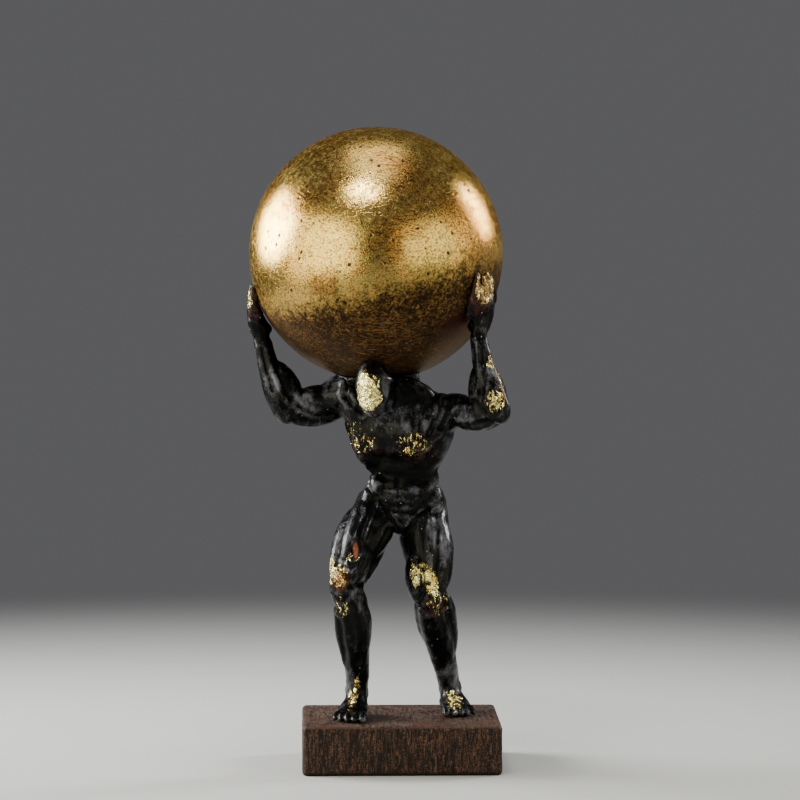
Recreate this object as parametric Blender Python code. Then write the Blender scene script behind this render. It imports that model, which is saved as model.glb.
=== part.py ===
"""Strongman statue: a bowed athlete who carries a gilded ball on his nape and hands, on a low plinth.

Metres, +Z up, the front faces -Y, and the origin is the centre of the plinth's underside.
Three separate castings: the plinth, the figure that stands on it, and the ball that rests on the figure.

The figure is worked up as clay: limbs and muscles are rounded swells, fused into one skin.
Its pose is laid out in body units: FIGURE_UNITS of them reach from the soles to the crown.
"""

import math

import bpy
import numpy as np
from mathutils import Vector

# Driving dimensions
PLINTH_WIDTH = 0.099
PLINTH_DEPTH = 0.080
PLINTH_HEIGHT = 0.0247
PLINTH_EDGE_RADIUS = 0.0018
FIGURE_HEIGHT = 0.178
BALL_DIAMETER = 0.127
SEAT_SHARE = 0.944
GLUE_GAP = 0.0003

FIGURE_UNITS = 178.0
UNIT = FIGURE_HEIGHT / FIGURE_UNITS

# The figure's skin: its grain in body units, how often it is smoothed, and the share of faces that is kept
CLAY_GRAIN = 0.9
CLAY_SMOOTHING = 9
FIGURE_FACE_SHARE = 0.050

# The ball's faces
BALL_SEGMENTS = 48
BALL_RINGS = 24

SOLE_HEIGHT = PLINTH_HEIGHT + GLUE_GAP
BALL_RADIUS = BALL_DIAMETER / 2
BALL_CENTRE = np.array([-12 * UNIT, 6 * UNIT, SOLE_HEIGHT + SEAT_SHARE * FIGURE_HEIGHT + BALL_RADIUS])


def units(x, y, z):
    """A point of the pose, in body units above the soles, as a place in metres."""
    return np.array([x * UNIT, y * UNIT, SOLE_HEIGHT + z * UNIT])


def unit_vector(v):
    return np.asarray(v, float) / np.linalg.norm(v)


def smooth_through(values, count):
    """Reads count rows from a Catmull-Rom curve through the given rows."""
    rows = np.asarray(values, float)
    rows = rows.reshape(len(rows), -1)
    padded = np.vstack([2 * rows[0] - rows[1], rows, 2 * rows[-1] - rows[-2]])
    t = np.linspace(0, len(rows) - 1, count)
    i = np.minimum(t.astype(int), len(rows) - 2)
    f = (t - i)[:, None]
    a, b, c, d = padded[i], padded[i + 1], padded[i + 2], padded[i + 3]
    return 0.5 * (2 * b + (c - a) * f + (2 * a - 5 * b + 4 * c - d) * f**2 + (3 * b - a - 3 * c + d) * f**3)


class Clay:
    """Gathers closed swells into one mesh."""

    def __init__(self):
        self.points = []
        self.faces = []

    def rings(self, rings):
        """Skins a stack of rings, shape (rings, sides, 3), and closes both ends with a fan."""
        count, sides, _ = rings.shape
        base = sum(len(p) for p in self.points)
        ends = np.array([rings[0].mean(0), rings[-1].mean(0)])
        self.points.append(np.vstack([rings.reshape(-1, 3), ends]))
        for r in range(count - 1):
            for s in range(sides):
                a, b = base + r * sides + s, base + r * sides + (s + 1) % sides
                self.faces.append((a, b, b + sides, a + sides))
        first, last = base + count * sides, base + count * sides + 1
        for s in range(sides):
            n = (s + 1) % sides
            self.faces.append((base + n, base + s, first))
            self.faces.append((last - 1 - sides + s, last - 1 - sides + n, last))

    def limb(self, path, half_widths, half_depths, front, steps=18, sides=16):
        """A swept limb: elliptical rings along a smooth path, their depth towards front, with domed ends.

        The path holds places. The half sizes are in body units.
        """
        axis = smooth_through(path, steps)
        wide = smooth_through(half_widths, steps)[:, 0] * UNIT
        deep = smooth_through(half_depths, steps)[:, 0] * UNIT
        facing = smooth_through(front, steps) if np.ndim(front) == 2 else np.tile(front, (steps, 1))
        run = np.gradient(axis, axis=0)
        run /= np.linalg.norm(run, axis=1)[:, None]
        side = np.cross(facing, run)
        side /= np.linalg.norm(side, axis=1)[:, None]
        depth = np.cross(run, side)
        dome = np.array([0.25, 0.62, 0.86])
        reach = np.array([0.95, 0.75, 0.42])
        start = [(axis[0] - run[0] * wide[0] * r, wide[0] * k, deep[0] * k, side[0], depth[0])
                 for k, r in zip(dome, reach)]
        middle = list(zip(axis, wide, deep, side, depth))
        end = [(axis[-1] + run[-1] * wide[-1] * r, wide[-1] * k, deep[-1] * k, side[-1], depth[-1])
               for k, r in zip(dome[::-1], reach[::-1])]
        turn = np.linspace(0, 2 * math.pi, sides, endpoint=False)
        rings = [c + np.outer(np.cos(turn) * w, s) + np.outer(np.sin(turn) * d, f)
                 for c, w, d, s, f in start + middle + end]
        self.rings(np.array(rings))

    def muscle(self, start, end, half_width, half_depth, front, belly=0.5, steps=13, sides=12):
        """A spindle from start to end, thickest at the share belly of its length, its depth towards front."""
        t = np.linspace(0, 1, steps)
        skew = t ** (math.log(0.5) / math.log(belly))
        swell = np.sin(math.pi * np.clip(skew, 0.002, 0.998)) ** 0.62
        start, end = np.asarray(start, float), np.asarray(end, float)
        run = unit_vector(end - start)
        side = unit_vector(np.cross(front, run))
        depth = np.cross(run, side)
        axis = start + np.outer(t, end - start)
        turn = np.linspace(0, 2 * math.pi, sides, endpoint=False)
        circle = np.outer(np.cos(turn) * half_width, side) + np.outer(np.sin(turn) * half_depth, depth)
        self.rings(axis[:, None, :] + swell[:, None, None] * circle[None, :, :] * UNIT)

    def ball(self, centre, radii, front=(0, -1, 0), up=(0, 0, 1)):
        """An ellipsoid with half sizes (across, towards front, along up)."""
        up = unit_vector(up)
        across, deep, long = radii
        self.muscle(centre - up * long * UNIT, centre + up * long * UNIT, across, deep, front)

    def mesh(self, name):
        made = bpy.data.meshes.new(name)
        made.from_pydata(np.vstack(self.points).tolist(), [], self.faces)
        made.validate()
        return made


class Bone:
    """A straight bone with its own front and outer side, so that muscles are placed as on any limb."""

    def __init__(self, start, end, front, outer):
        self.start = np.asarray(start, float)
        self.end = np.asarray(end, float)
        self.run = unit_vector(self.end - self.start)
        self.front = unit_vector(np.asarray(front, float) - np.dot(front, self.run) * self.run)
        side = np.cross(self.run, self.front)
        self.outer = side * math.copysign(1, np.dot(side, outer))

    def at(self, share, out, forward):
        """A point at a share of the bone's length, moved outwards and forwards by body units."""
        along = self.start + (self.end - self.start) * share
        return along + (self.outer * out + self.front * forward) * UNIT


class Block:
    """A body block, such as the chest, with axes to its left, front and top."""

    def __init__(self, centre, yaw, lean, roll):
        self.centre = centre
        turn, pitch, tip = (math.radians(v) for v in (yaw, lean, roll))
        front = np.array([-math.sin(turn), -math.cos(turn), 0.0])
        left = np.array([math.cos(turn), -math.sin(turn), 0.0])
        up = np.array([0.0, 0.0, 1.0])
        self.front = front * math.cos(pitch) - up * math.sin(pitch)
        leaning = up * math.cos(pitch) + front * math.sin(pitch)
        self.left = left * math.cos(tip) - leaning * math.sin(tip)
        self.up = leaning * math.cos(tip) + left * math.sin(tip)

    def at(self, left, forward, up):
        return self.centre + (self.left * left + self.front * forward + self.up * up) * UNIT


# The pose, in body units
CHEST = Block(units(-1.6, -1, 142), yaw=26, lean=12, roll=3)
PELVIS = Block(units(1.6, 5, 105), yaw=7, lean=4, roll=0)
HEAD = Block(units(-13.0, -25, 166), yaw=27, lean=14, roll=-2)
WAIST = Block(units(2.4, 2.5, 121), yaw=16, lean=8, roll=1)
NAPE = Block(BALL_CENTRE - np.array([0, 0, BALL_RADIUS]), yaw=26, lean=0, roll=0)

SHOULDER = {"right": units(-27, 11, 157), "left": units(26, -12, 153)}
ELBOW = {"right": units(-57.5, 2, 152.5), "left": units(47.5, -35, 155)}
HIP = {"right": units(-13, 4, 101), "left": units(12.5, 8, 100)}
KNEE = {"right": units(-28.6, -23, 65.5), "left": units(15.2, -13, 57)}
ANKLE = {"right": units(-21.6, -3, 12.5), "left": units(25.6, 16, 12)}
TOE_WAY = {"right": unit_vector((-0.16, -1, 0)), "left": unit_vector((0.30, -1, 0))}
KNEE_WAY = {"right": unit_vector((-0.62, -1, 0.25)), "left": unit_vector((-0.05, -1, 0.25))}
PALM_WAY = {"right": unit_vector((-0.923, 0.02, -0.42)), "left": unit_vector((0.80, -0.47, -0.36))}
FINGER_WAY = {"right": unit_vector((-0.970, 0.0, -0.22)), "left": unit_vector((0.83, -0.56, -0.12))}
WRIST_WAY = {"right": unit_vector((-0.815, 0.0, -0.58)), "left": unit_vector((0.70, -0.45, -0.55))}
SIGN = {"right": -1, "left": 1}


def swell(clay, bone, start, end, half_width, half_depth, belly=0.5):
    """A muscle along a bone. Each end is (share, angle, distance): the angle turns from front to outer."""
    ends = []
    ways = []
    for share, angle, distance in (start, end):
        turn = math.radians(angle)
        way = bone.front * math.cos(turn) + bone.outer * math.sin(turn)
        ways.append(way)
        ends.append(bone.at(share, 0, 0) + way * distance * UNIT)
    clay.muscle(ends[0], ends[1], half_width, half_depth, unit_vector(ways[0] + ways[1]), belly)


def model_torso(clay):
    path = [PELVIS.at(0, 0, -8), PELVIS.at(0, 0, -1), PELVIS.at(0, 0, 7), WAIST.centre,
            CHEST.at(1.5, -1, -12), CHEST.at(0.5, 0, -2), CHEST.at(0, 0, 7), CHEST.at(0, -1, 16),
            CHEST.at(-2, 3, 24)]
    half_widths = [8, 16.5, 18.5, 17.6, 19.5, 24, 24.5, 17, 9]
    half_depths = [8, 11.5, 11.5, 10.5, 11.5, 13.5, 13.5, 10.5, 8]
    front = [PELVIS.front] * 3 + [WAIST.front] + [CHEST.front] * 5
    clay.limb(path, half_widths, half_depths, front, steps=30, sides=24)
    # Collar: the shelf of the upper chest, from shoulder to shoulder
    clay.limb([CHEST.at(-25, -2, 14), CHEST.at(0, 5, 12), CHEST.at(25, -2, 14)], [7.5, 8, 7.5],
              [8, 9.5, 8], CHEST.up, sides=20)
    # Low belly, closed by the fold above the legs
    clay.ball(PELVIS.at(0, 7.6, -6), [8.5, 5.4, 8], PELVIS.front)
    clay.ball(PELVIS.at(-1.5, 0, -11.5), [7.5, 9, 6], PELVIS.front)
    for s in SIGN.values():
        model_chest_side(clay, s)
        model_pelvis_side(clay, s)


def model_chest_side(clay, s):
    c = CHEST
    # Chest muscle: a thick fan from the breastbone to the arm
    clay.muscle(c.at(s * -1.5, 11, -2.5), c.at(s * 27, 4, 5), 10.5, 7.6, c.front, belly=0.40)
    clay.muscle(c.at(s * -1, 9.5, 5), c.at(s * 28, 2, 9), 9, 6.4, c.front, belly=0.42)
    # Back muscle: from the armpit to the waist
    clay.muscle(c.at(s * 25.5, -3, 10), c.at(s * 10.5 + 2, -7, -27), 6.5, 10, c.front, belly=0.38)
    # Ribs that show between the chest and the waist
    clay.muscle(c.at(s * 19, 5, -2), c.at(s * 8, 11, -15), 4.5, 4, c.front)
    # Shoulder blade and the muscle beside the spine
    clay.muscle(c.at(s * 2, -10, -1), c.at(s * 27, -6, 12), 10, 6, c.front)
    clay.limb([PELVIS.at(s * 4.5, -8, 2), WAIST.at(s * 5, -7.5, 0), c.at(s * 5, -10, -6),
               c.at(s * 5, -8, 14)], [4, 5, 5, 5], [4, 4.2, 5, 5], c.front)
    # Nape slope that carries the ball
    clay.muscle(c.at(s * -5, 1, 22), c.at(s * 35, -4, 14), 9.5, 8.8, c.up, belly=0.42)


def model_pelvis_side(clay, s):
    p = PELVIS
    # Side of the belly, over the hip bone
    clay.muscle(p.at(s * 12.5, 2, -2), p.at(s * 11, 3, 25), 5, 8.5, p.front, belly=0.42)
    # Seat muscle
    clay.muscle(p.at(s * 4, -6, 8), p.at(s * 12, -5, -16), 10, 9, p.front, belly=0.5)
    # Straight belly muscle, in three pads above one another
    clay.ball(p.at(s * 5, 7.4, 4), [6.6, 4.9, 6.6], p.front)
    clay.ball(WAIST.at(s * 5, 7.5, -1.5), [6.4, 4.7, 5], p.front)
    clay.ball(WAIST.at(s * 5 - 1.5, 7.8, 7), [6.4, 4.6, 5.2], p.front)


def model_neck_and_head(clay):
    clay.limb([CHEST.at(-1, 2, 16), HEAD.at(0, -6, -5), HEAD.at(0, -2, 1)], [11, 8, 6.5], [9, 8, 6.5],
              HEAD.front, steps=8)
    # Skull, then brow, cheeks and jaw
    clay.limb([HEAD.at(0, -3, 7), HEAD.at(0, -1, 3.5), HEAD.at(0, 0.5, -1.5)], [7.0, 8.8, 8.0], [8, 10.6, 9],
              HEAD.front, steps=8, sides=20)
    clay.limb([HEAD.at(0, 2.4, 7), HEAD.at(0, 4.0, 1), HEAD.at(0, 4.2, -5), HEAD.at(0, 4.0, -7.5)],
              [7.2, 8.2, 7.8, 6.8], [6.4, 6.8, 6.4, 5.8], HEAD.front, steps=10, sides=20)
    # Ball bed: the thick nape that rises to meet the ball
    clay.limb([NAPE.at(7, 1, -15), NAPE.at(3.8, 1, -6), NAPE.at(0.4, 1, 3)], [21, 21.5, 22.5], [11, 14, 18],
              CHEST.front, steps=8, sides=24)


def model_arm(clay, side):
    shoulder, elbow = SHOULDER[side], ELBOW[side]
    wrist = BALL_CENTRE + WRIST_WAY[side] * (BALL_RADIUS + 7.4 * UNIT)
    inward = -unit_vector(WRIST_WAY[side] * np.array([1, 1, 0]))
    upper = Bone(shoulder, elbow, front=(0, 0, 1), outer=CHEST.front)
    fore = Bone(elbow, wrist, front=inward, outer=CHEST.front)
    clay.limb([upper.at(-0.1, 0, 0), upper.at(0.25, 0, 0), upper.at(0.6, 0, -0.5), elbow],
              [8, 7.2, 7, 6], [8, 8, 8, 6], upper.front)
    # Shoulder cap: front, middle and rear heads
    swell(clay, upper, (-0.28, 60, 4), (0.52, 70, 3), 6.5, 6, belly=0.42)
    swell(clay, upper, (-0.30, 0, 4), (0.56, 10, 3), 6.5, 6, belly=0.42)
    swell(clay, upper, (-0.28, -75, 4), (0.50, -60, 2.5), 6.5, 6, belly=0.42)
    # Upper arm: biceps above, two heads of triceps below
    swell(clay, upper, (0.18, 15, 3), (1.0, 5, 3), 6.2, 5.8, belly=0.6)
    swell(clay, upper, (0.02, 150, 5), (1.0, 165, 4), 6, 6.2, belly=0.52)
    swell(clay, upper, (0.08, 210, 5), (1.0, 195, 4), 6, 6.2, belly=0.56)
    # Elbow
    clay.ball(fore.at(-0.05, 0, -2.2), [4.6, 4.2, 5], fore.front, fore.run)
    # Forearm: the big mass at the crook, the inner and outer muscles
    clay.limb([elbow, fore.at(0.3, 0, 0.6), fore.at(0.65, 0, 0.8), wrist], [6.6, 7.2, 5.6, 5.2],
              [6.2, 7.4, 5.8, 5.2], fore.front)
    swell(clay, fore, (-0.04, 10, 7), (0.74, 0, 2), 6.2, 6.8, belly=0.38)
    swell(clay, fore, (-0.04, 85, 3.5), (0.78, 80, 1), 5, 5.2, belly=0.36)
    swell(clay, fore, (-0.04, -85, 3.5), (0.78, -80, 1), 5, 5.2, belly=0.36)
    model_hand(clay, side, wrist)


def on_ball(place, height):
    """The point above the ball's surface, by a height in body units, that lies under or over a place."""
    return BALL_CENTRE + unit_vector(place - BALL_CENTRE) * (BALL_RADIUS + height * UNIT)


def model_hand(clay, side, wrist):
    """An open hand laid on the ball: palm, four fingers along the ball's curve, and the thumb apart."""
    palm_way = PALM_WAY[side]
    palm = on_ball(BALL_CENTRE + palm_way, 3.4)
    middle = (wrist + palm) / 2 + palm_way * UNIT
    clay.limb([wrist, middle, palm], [5.0, 6.4, 7.0], [4.8, 4.6, 4.0], palm_way, steps=10)
    way = unit_vector(FINGER_WAY[side] - np.dot(FINGER_WAY[side], palm_way) * palm_way)
    across = np.cross(palm_way, way)
    for finger, reach in enumerate((12.5, 14.5, 14.0, 11.0)):
        spread = (finger - 1.5) * 3.4
        points = []
        for share in (0.0, 0.4, 0.75, 1.0):
            place = palm + (across * spread * (1 + 0.1 * share) + way * reach * share) * UNIT
            points.append(on_ball(place, 3.4 - 1.8 * share))
        clay.limb(points, [2.05, 2.0, 1.9, 1.5], [3.0, 2.8, 2.3, 1.6], palm_way, steps=8, sides=8)
    inner = across * math.copysign(1, np.dot(across, CHEST.front))
    root = wrist * 0.4 + palm * 0.6 + inner * 3.5 * UNIT
    points = []
    for share in (0.0, 0.5, 1.0):
        points.append(on_ball(root + (inner * 6.5 + way * 9) * share * UNIT, 2.6 - share))
    clay.limb(points, [3.0, 2.4, 1.7], [3.0, 2.3, 1.7], palm_way, steps=8, sides=8)


def model_leg(clay, side):
    hip, knee, ankle, way = HIP[side], KNEE[side], ANKLE[side], KNEE_WAY[side]
    thigh = Bone(hip, knee, front=way, outer=(SIGN[side], 0, 0))
    shank = Bone(knee, ankle, front=unit_vector(way * np.array([1, 1, 0])), outer=(SIGN[side], 0, 0))
    clay.limb([thigh.at(-0.14, 0, -1), thigh.at(0.25, 0, 0), thigh.at(0.65, 0, 0), knee],
              [11.5, 11.8, 9.6, 7.4], [11.5, 12, 10, 7.6], thigh.front)
    # Thigh: front, outer side, the drop over the inner knee, inner side, and two at the back
    swell(clay, thigh, (-0.12, 10, 7), (0.94, 0, 4.5), 7, 6.5, belly=0.45)
    swell(clay, thigh, (-0.02, 72, 6.8), (0.98, 55, 6), 8, 7, belly=0.55)
    swell(clay, thigh, (0.28, -52, 7), (1.04, -50, 5.2), 6.4, 6.2, belly=0.62)
    swell(clay, thigh, (-0.20, -100, 6), (0.75, -90, 4), 8, 7, belly=0.36)
    swell(clay, thigh, (-0.05, 145, 7), (1.04, 140, 4), 6.5, 6.5, belly=0.5)
    swell(clay, thigh, (-0.05, 215, 7), (1.04, 220, 4), 6.5, 6.5, belly=0.5)
    # Knee cap and the pad below it
    clay.ball(thigh.at(0.99, 0, 4.6), [5.6, 4.4, 6.4], thigh.front, shank.run)
    clay.ball(shank.at(0.17, 0, 4.0), [4.0, 3.6, 6.0], shank.front, shank.run)
    clay.limb([knee, shank.at(0.28, 0, -1), shank.at(0.62, 0, 0), ankle], [7.5, 8.8, 6.6, 5.6],
              [7.4, 8.6, 6.8, 5.8], shank.front)
    # Calf heads, the shin muscle and the heel cord
    swell(clay, shank, (-0.02, 215, 5.5), (0.64, 205, 3), 6.3, 6.2, belly=0.42)
    swell(clay, shank, (-0.02, 140, 5.5), (0.58, 150, 3), 6.3, 6.2, belly=0.42)
    swell(clay, shank, (0.06, 50, 5), (0.85, 30, 3), 4.2, 4.4, belly=0.4)
    swell(clay, shank, (0.02, 100, 6.2), (0.80, 110, 2.5), 5, 5, belly=0.4)
    swell(clay, shank, (0.38, 180, 5), (1.08, 180, 5.5), 3.2, 3.0, belly=0.4)
    model_foot(clay, side, shank)


def model_foot(clay, side, shank):
    ankle, way = ANKLE[side], TOE_WAY[side]
    across = np.array([-way[1], way[0], 0.0]) * SIGN[side]
    ground = np.array([ankle[0], ankle[1], SOLE_HEIGHT])

    def on_ground(forward, out, up):
        return ground + (way * forward + across * out + np.array([0, 0, up])) * UNIT

    clay.ball(shank.at(0.98, 4.0, -0.5), [2.4, 3.0, 3.6])
    clay.ball(shank.at(0.94, -4.0, 0.5), [2.4, 3.0, 3.6])
    clay.limb([ankle, on_ground(4.5, 0, 8.0), on_ground(12, 0.4, 4.8), on_ground(18.5, 0.8, 2.6)],
              [5.4, 6.0, 7.6, 8.2], [5.2, 5.0, 3.8, 2.5], (0, 0, 1))
    clay.ball(on_ground(-4.5, 0, 4.0), [4.8, 5.2, 5.0])
    clay.limb([on_ground(-3, 0, 2), on_ground(8, 1.5, 2), on_ground(17, 0.5, 2)], [4.6, 5.6, 7.4],
              [2.8, 2.8, 2.4], (0, 0, 1))
    # Toes, the big one on the inner side: place across, reach and thickness
    toes = ((-5.9, 24.5, 2.5), (-2.1, 24.6, 1.8), (1.1, 23.6, 1.75), (4.1, 22.2, 1.7), (6.8, 20.2, 1.6))
    for out, reach, thick in toes:
        clay.limb([on_ground(16.5, out * 0.92, 2.4), on_ground((16.5 + reach) / 2, out, 3.0),
                   on_ground(reach, out * 1.05, 1.5)], [thick, thick, thick * 0.85],
                  [thick, thick, thick * 0.8], (0, 0, 1), steps=8, sides=8)


def material(name, colour, roughness, metallic):
    made = bpy.data.materials.new(name)
    made.use_nodes = True
    shader = made.node_tree.nodes["Principled BSDF"]
    shader.inputs["Base Color"].default_value = (*colour, 1)
    shader.inputs["Roughness"].default_value = roughness
    shader.inputs["Metallic"].default_value = metallic
    return made


def place(name, mesh, finish=None):
    piece = bpy.data.objects.new(name, mesh)
    bpy.context.scene.collection.objects.link(piece)
    if finish is not None:
        mesh.materials.append(finish)
    return piece


def cutter(name, mesh):
    tool = place(name, mesh)
    tool.hide_render = True
    tool.display_type = "WIRE"
    return tool


def sphere_mesh(name, radius, centre, segments, rings):
    """A globe with its poles above and below, made of latitude rings."""
    turn = np.linspace(0, 2 * math.pi, segments, endpoint=False)
    lift = np.linspace(-math.pi / 2, math.pi / 2, rings + 1)[1:-1]
    across = np.outer(np.cos(lift), np.cos(turn)).ravel()
    along = np.outer(np.cos(lift), np.sin(turn)).ravel()
    up = np.repeat(np.sin(lift), segments)
    points = np.vstack([np.column_stack([across, along, up]), [0, 0, -1], [0, 0, 1]]) * radius + centre
    faces = []
    for r in range(rings - 2):
        for s in range(segments):
            a, b = r * segments + s, r * segments + (s + 1) % segments
            faces.append((a, b, b + segments, a + segments))
    low, high, top = len(points) - 2, len(points) - 1, (rings - 2) * segments
    for s in range(segments):
        n = (s + 1) % segments
        faces.append((n, s, low))
        faces.append((top + s, top + n, high))
    made = bpy.data.meshes.new(name)
    made.from_pydata(points.tolist(), [], faces)
    return made


def box_mesh(name, low, high):
    (a, b, c), (d, e, f) = low, high
    points = [(a, b, c), (d, b, c), (d, e, c), (a, e, c), (a, b, f), (d, b, f), (d, e, f), (a, e, f)]
    faces = [(3, 2, 1, 0), (4, 5, 6, 7), (0, 1, 5, 4), (1, 2, 6, 5), (2, 3, 7, 6), (3, 0, 4, 7)]
    made = bpy.data.meshes.new(name)
    made.from_pydata(points, [], faces)
    return made


def make_plinth():
    half = Vector((PLINTH_WIDTH / 2, PLINTH_DEPTH / 2, 0))
    mesh = box_mesh("plinth", -half, half + Vector((0, 0, PLINTH_HEIGHT)))
    plinth = place("plinth", mesh, material("stained_grain", (0.07, 0.035, 0.028), 0.6, 0.0))
    rounding = plinth.modifiers.new("rounded edges", "BEVEL")
    rounding.width = PLINTH_EDGE_RADIUS
    rounding.segments = 3
    return plinth


def make_ball():
    mesh = sphere_mesh("ball", BALL_RADIUS, BALL_CENTRE, BALL_SEGMENTS, BALL_RINGS)
    mesh.shade_smooth()
    return place("ball", mesh, material("gold_leaf", (0.62, 0.40, 0.13), 0.3, 1.0))


def make_figure():
    clay = Clay()
    model_torso(clay)
    model_neck_and_head(clay)
    for side in ("right", "left"):
        model_arm(clay, side)
        model_leg(clay, side)
    figure = place("figure", clay.mesh("figure"), material("black_patina", (0.02, 0.021, 0.024), 0.42, 0.0))
    skin = figure.modifiers.new("fused skin", "REMESH")
    skin.mode = "VOXEL"
    skin.voxel_size = CLAY_GRAIN * UNIT
    soften = figure.modifiers.new("smoothed clay", "SMOOTH")
    soften.factor = 0.5
    soften.iterations = CLAY_SMOOTHING
    thin = figure.modifiers.new("fewer faces", "DECIMATE")
    thin.ratio = FIGURE_FACE_SHARE
    hollow = sphere_mesh("ball_bed_cutter", BALL_RADIUS + GLUE_GAP, BALL_CENTRE, BALL_SEGMENTS, BALL_RINGS)
    carve = figure.modifiers.new("bed of the ball", "BOOLEAN")
    carve.operation = "DIFFERENCE"
    carve.object = cutter("ball_bed_cutter", hollow)
    reach = FIGURE_HEIGHT
    below = box_mesh("ground_cutter", (-reach, -reach, 0), (reach, reach, SOLE_HEIGHT))
    level = figure.modifiers.new("flat soles", "BOOLEAN")
    level.operation = "DIFFERENCE"
    level.object = cutter("ground_cutter", below)
    return figure


def main():
    for old in list(bpy.data.objects):
        bpy.data.objects.remove(old)
    make_plinth()
    make_ball()
    make_figure()


main()
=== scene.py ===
# %% [markdown]
# # A strongman with a gilded ball
#
# This lesson dresses a table statue 32 cm tall. A bowed athlete carries a big ball on the nape and
# both hands, and stands on a low oblong plinth. On the real statue all three are resin castings
# that a painter finished by hand: black body, leafed ball, wood-grained plinth.
#
# The measured solids are loaded first. They are the frame that every piece here is fitted to, so no
# size is guessed twice.

# %% Load the measured frame
import math

import bpy
import numpy as np
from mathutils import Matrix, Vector


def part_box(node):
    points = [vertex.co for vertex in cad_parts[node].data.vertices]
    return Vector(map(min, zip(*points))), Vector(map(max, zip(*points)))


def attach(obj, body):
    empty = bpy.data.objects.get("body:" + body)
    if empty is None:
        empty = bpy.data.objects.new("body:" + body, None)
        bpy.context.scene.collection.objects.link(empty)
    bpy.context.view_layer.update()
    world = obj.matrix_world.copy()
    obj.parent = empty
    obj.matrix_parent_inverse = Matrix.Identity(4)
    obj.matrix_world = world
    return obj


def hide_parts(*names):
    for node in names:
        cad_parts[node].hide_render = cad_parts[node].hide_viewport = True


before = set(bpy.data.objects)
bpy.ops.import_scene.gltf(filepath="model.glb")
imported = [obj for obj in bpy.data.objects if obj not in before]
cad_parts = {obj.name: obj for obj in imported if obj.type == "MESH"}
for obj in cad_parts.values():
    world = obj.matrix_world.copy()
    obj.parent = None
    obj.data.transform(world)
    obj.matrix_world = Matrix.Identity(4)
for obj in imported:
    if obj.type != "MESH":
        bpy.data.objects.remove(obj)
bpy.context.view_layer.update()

# %% [markdown]
# ## Sizes that come from the frame
#
# The ball's box gives its centre and radius, and the lowest point of the figure's box is the level
# of the soles. The figure is laid out in body units: 178 of them reach from the soles to the crown,
# and the ball's lowest point is at 0.944 of that height. So the frame also says how long a unit is.

# %% Read the sizes
def box_of(node):
    """The lowest and highest corner of a measured solid."""
    low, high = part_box(node)
    return np.array(low), np.array(high)


ball_low, ball_high = box_of("ball")
plinth_low, plinth_high = box_of("plinth")
BALL_CENTRE = (ball_low + ball_high) / 2
BALL_RADIUS = (ball_high[2] - ball_low[2]) / 2
SOLE_HEIGHT = box_of("figure")[0][2]
FIGURE_UNITS = 178
SEAT_SHARE = 0.944
UNIT = (BALL_CENTRE[2] - BALL_RADIUS - SOLE_HEIGHT) / (SEAT_SHARE * FIGURE_UNITS)
GLUE_GAP = 0.0003
MM = 0.001
print(f"ball radius {BALL_RADIUS:.4f} m, one body unit {UNIT * 1000:.3f} mm")

# %% [markdown]
# ## A small kit for surfaces
#
# Every shape below is worked out as whole numpy arrays and put into a mesh in one go. A grid of
# points becomes a skin of four-sided faces. Where the grid closes on itself, the last column is
# joined to the first.

# %% Directions, curves and meshes
def unit_vector(v):
    return np.asarray(v, float) / np.linalg.norm(v)


def units(x, y, z):
    """A place given in body units above the soles, in metres."""
    return np.array([x * UNIT, y * UNIT, SOLE_HEIGHT + z * UNIT])


def smooth_through(values, count):
    """Rows read from a Catmull-Rom curve, the cubic that passes through each given row."""
    rows = np.asarray(values, float)
    rows = rows.reshape(len(rows), -1)
    padded = np.vstack([2 * rows[0] - rows[1], rows, 2 * rows[-1] - rows[-2]])
    t = np.linspace(0, len(rows) - 1, count)
    i = np.minimum(t.astype(int), len(rows) - 2)
    f = (t - i)[:, None]
    a, b, c, d = padded[i], padded[i + 1], padded[i + 2], padded[i + 3]
    square, cube = 2 * a - 5 * b + 4 * c - d, 3 * b - a - 3 * c + d
    return 0.5 * (2 * b + (c - a) * f + square * f**2 + cube * f**3)


def skin_faces(rings, sides):
    """Four-sided faces between rings of points, each ring closed on itself."""
    r, s = np.meshgrid(np.arange(rings - 1), np.arange(sides), indexing="ij")
    a = r * sides + s
    b = r * sides + (s + 1) % sides
    return np.stack([a, b, b + sides, a + sides], axis=-1).reshape(-1, 4)


def mesh_of(name, points, faces):
    """A mesh from an array of points and a list of faces, shaded smooth."""
    made = bpy.data.meshes.new(name)
    made.from_pydata(points.tolist(), [], faces)
    made.validate()
    made.shade_smooth()
    return made


def show(name, mesh, node):
    """Puts a finished mesh into the scene in place of the solid it stands for."""
    piece = bpy.data.objects.new(name, mesh)
    bpy.context.scene.collection.objects.link(piece)
    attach(piece, "root")
    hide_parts(node)
    print(name, len(mesh.vertices), "points", len(mesh.polygons), "faces")
    return piece


# %% [markdown]
# ## Clay
#
# A sculptor builds a figure from rolls and pads of clay, then rubs them into one skin. The same two
# forms do it here. A limb is a set of ellipses carried along a smooth path, with domed ends. A
# muscle is a spindle: thin at both ends and thickest at its belly.

# %% The clay kit
# A limb closes with a dome of four rings: their share of its width, and how far out they stand
DOME = np.array([0.08, 0.35, 0.62, 0.86])
DOME_REACH = np.array([1.0, 0.92, 0.75, 0.42])
SPINDLE_POWER = 0.62


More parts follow.
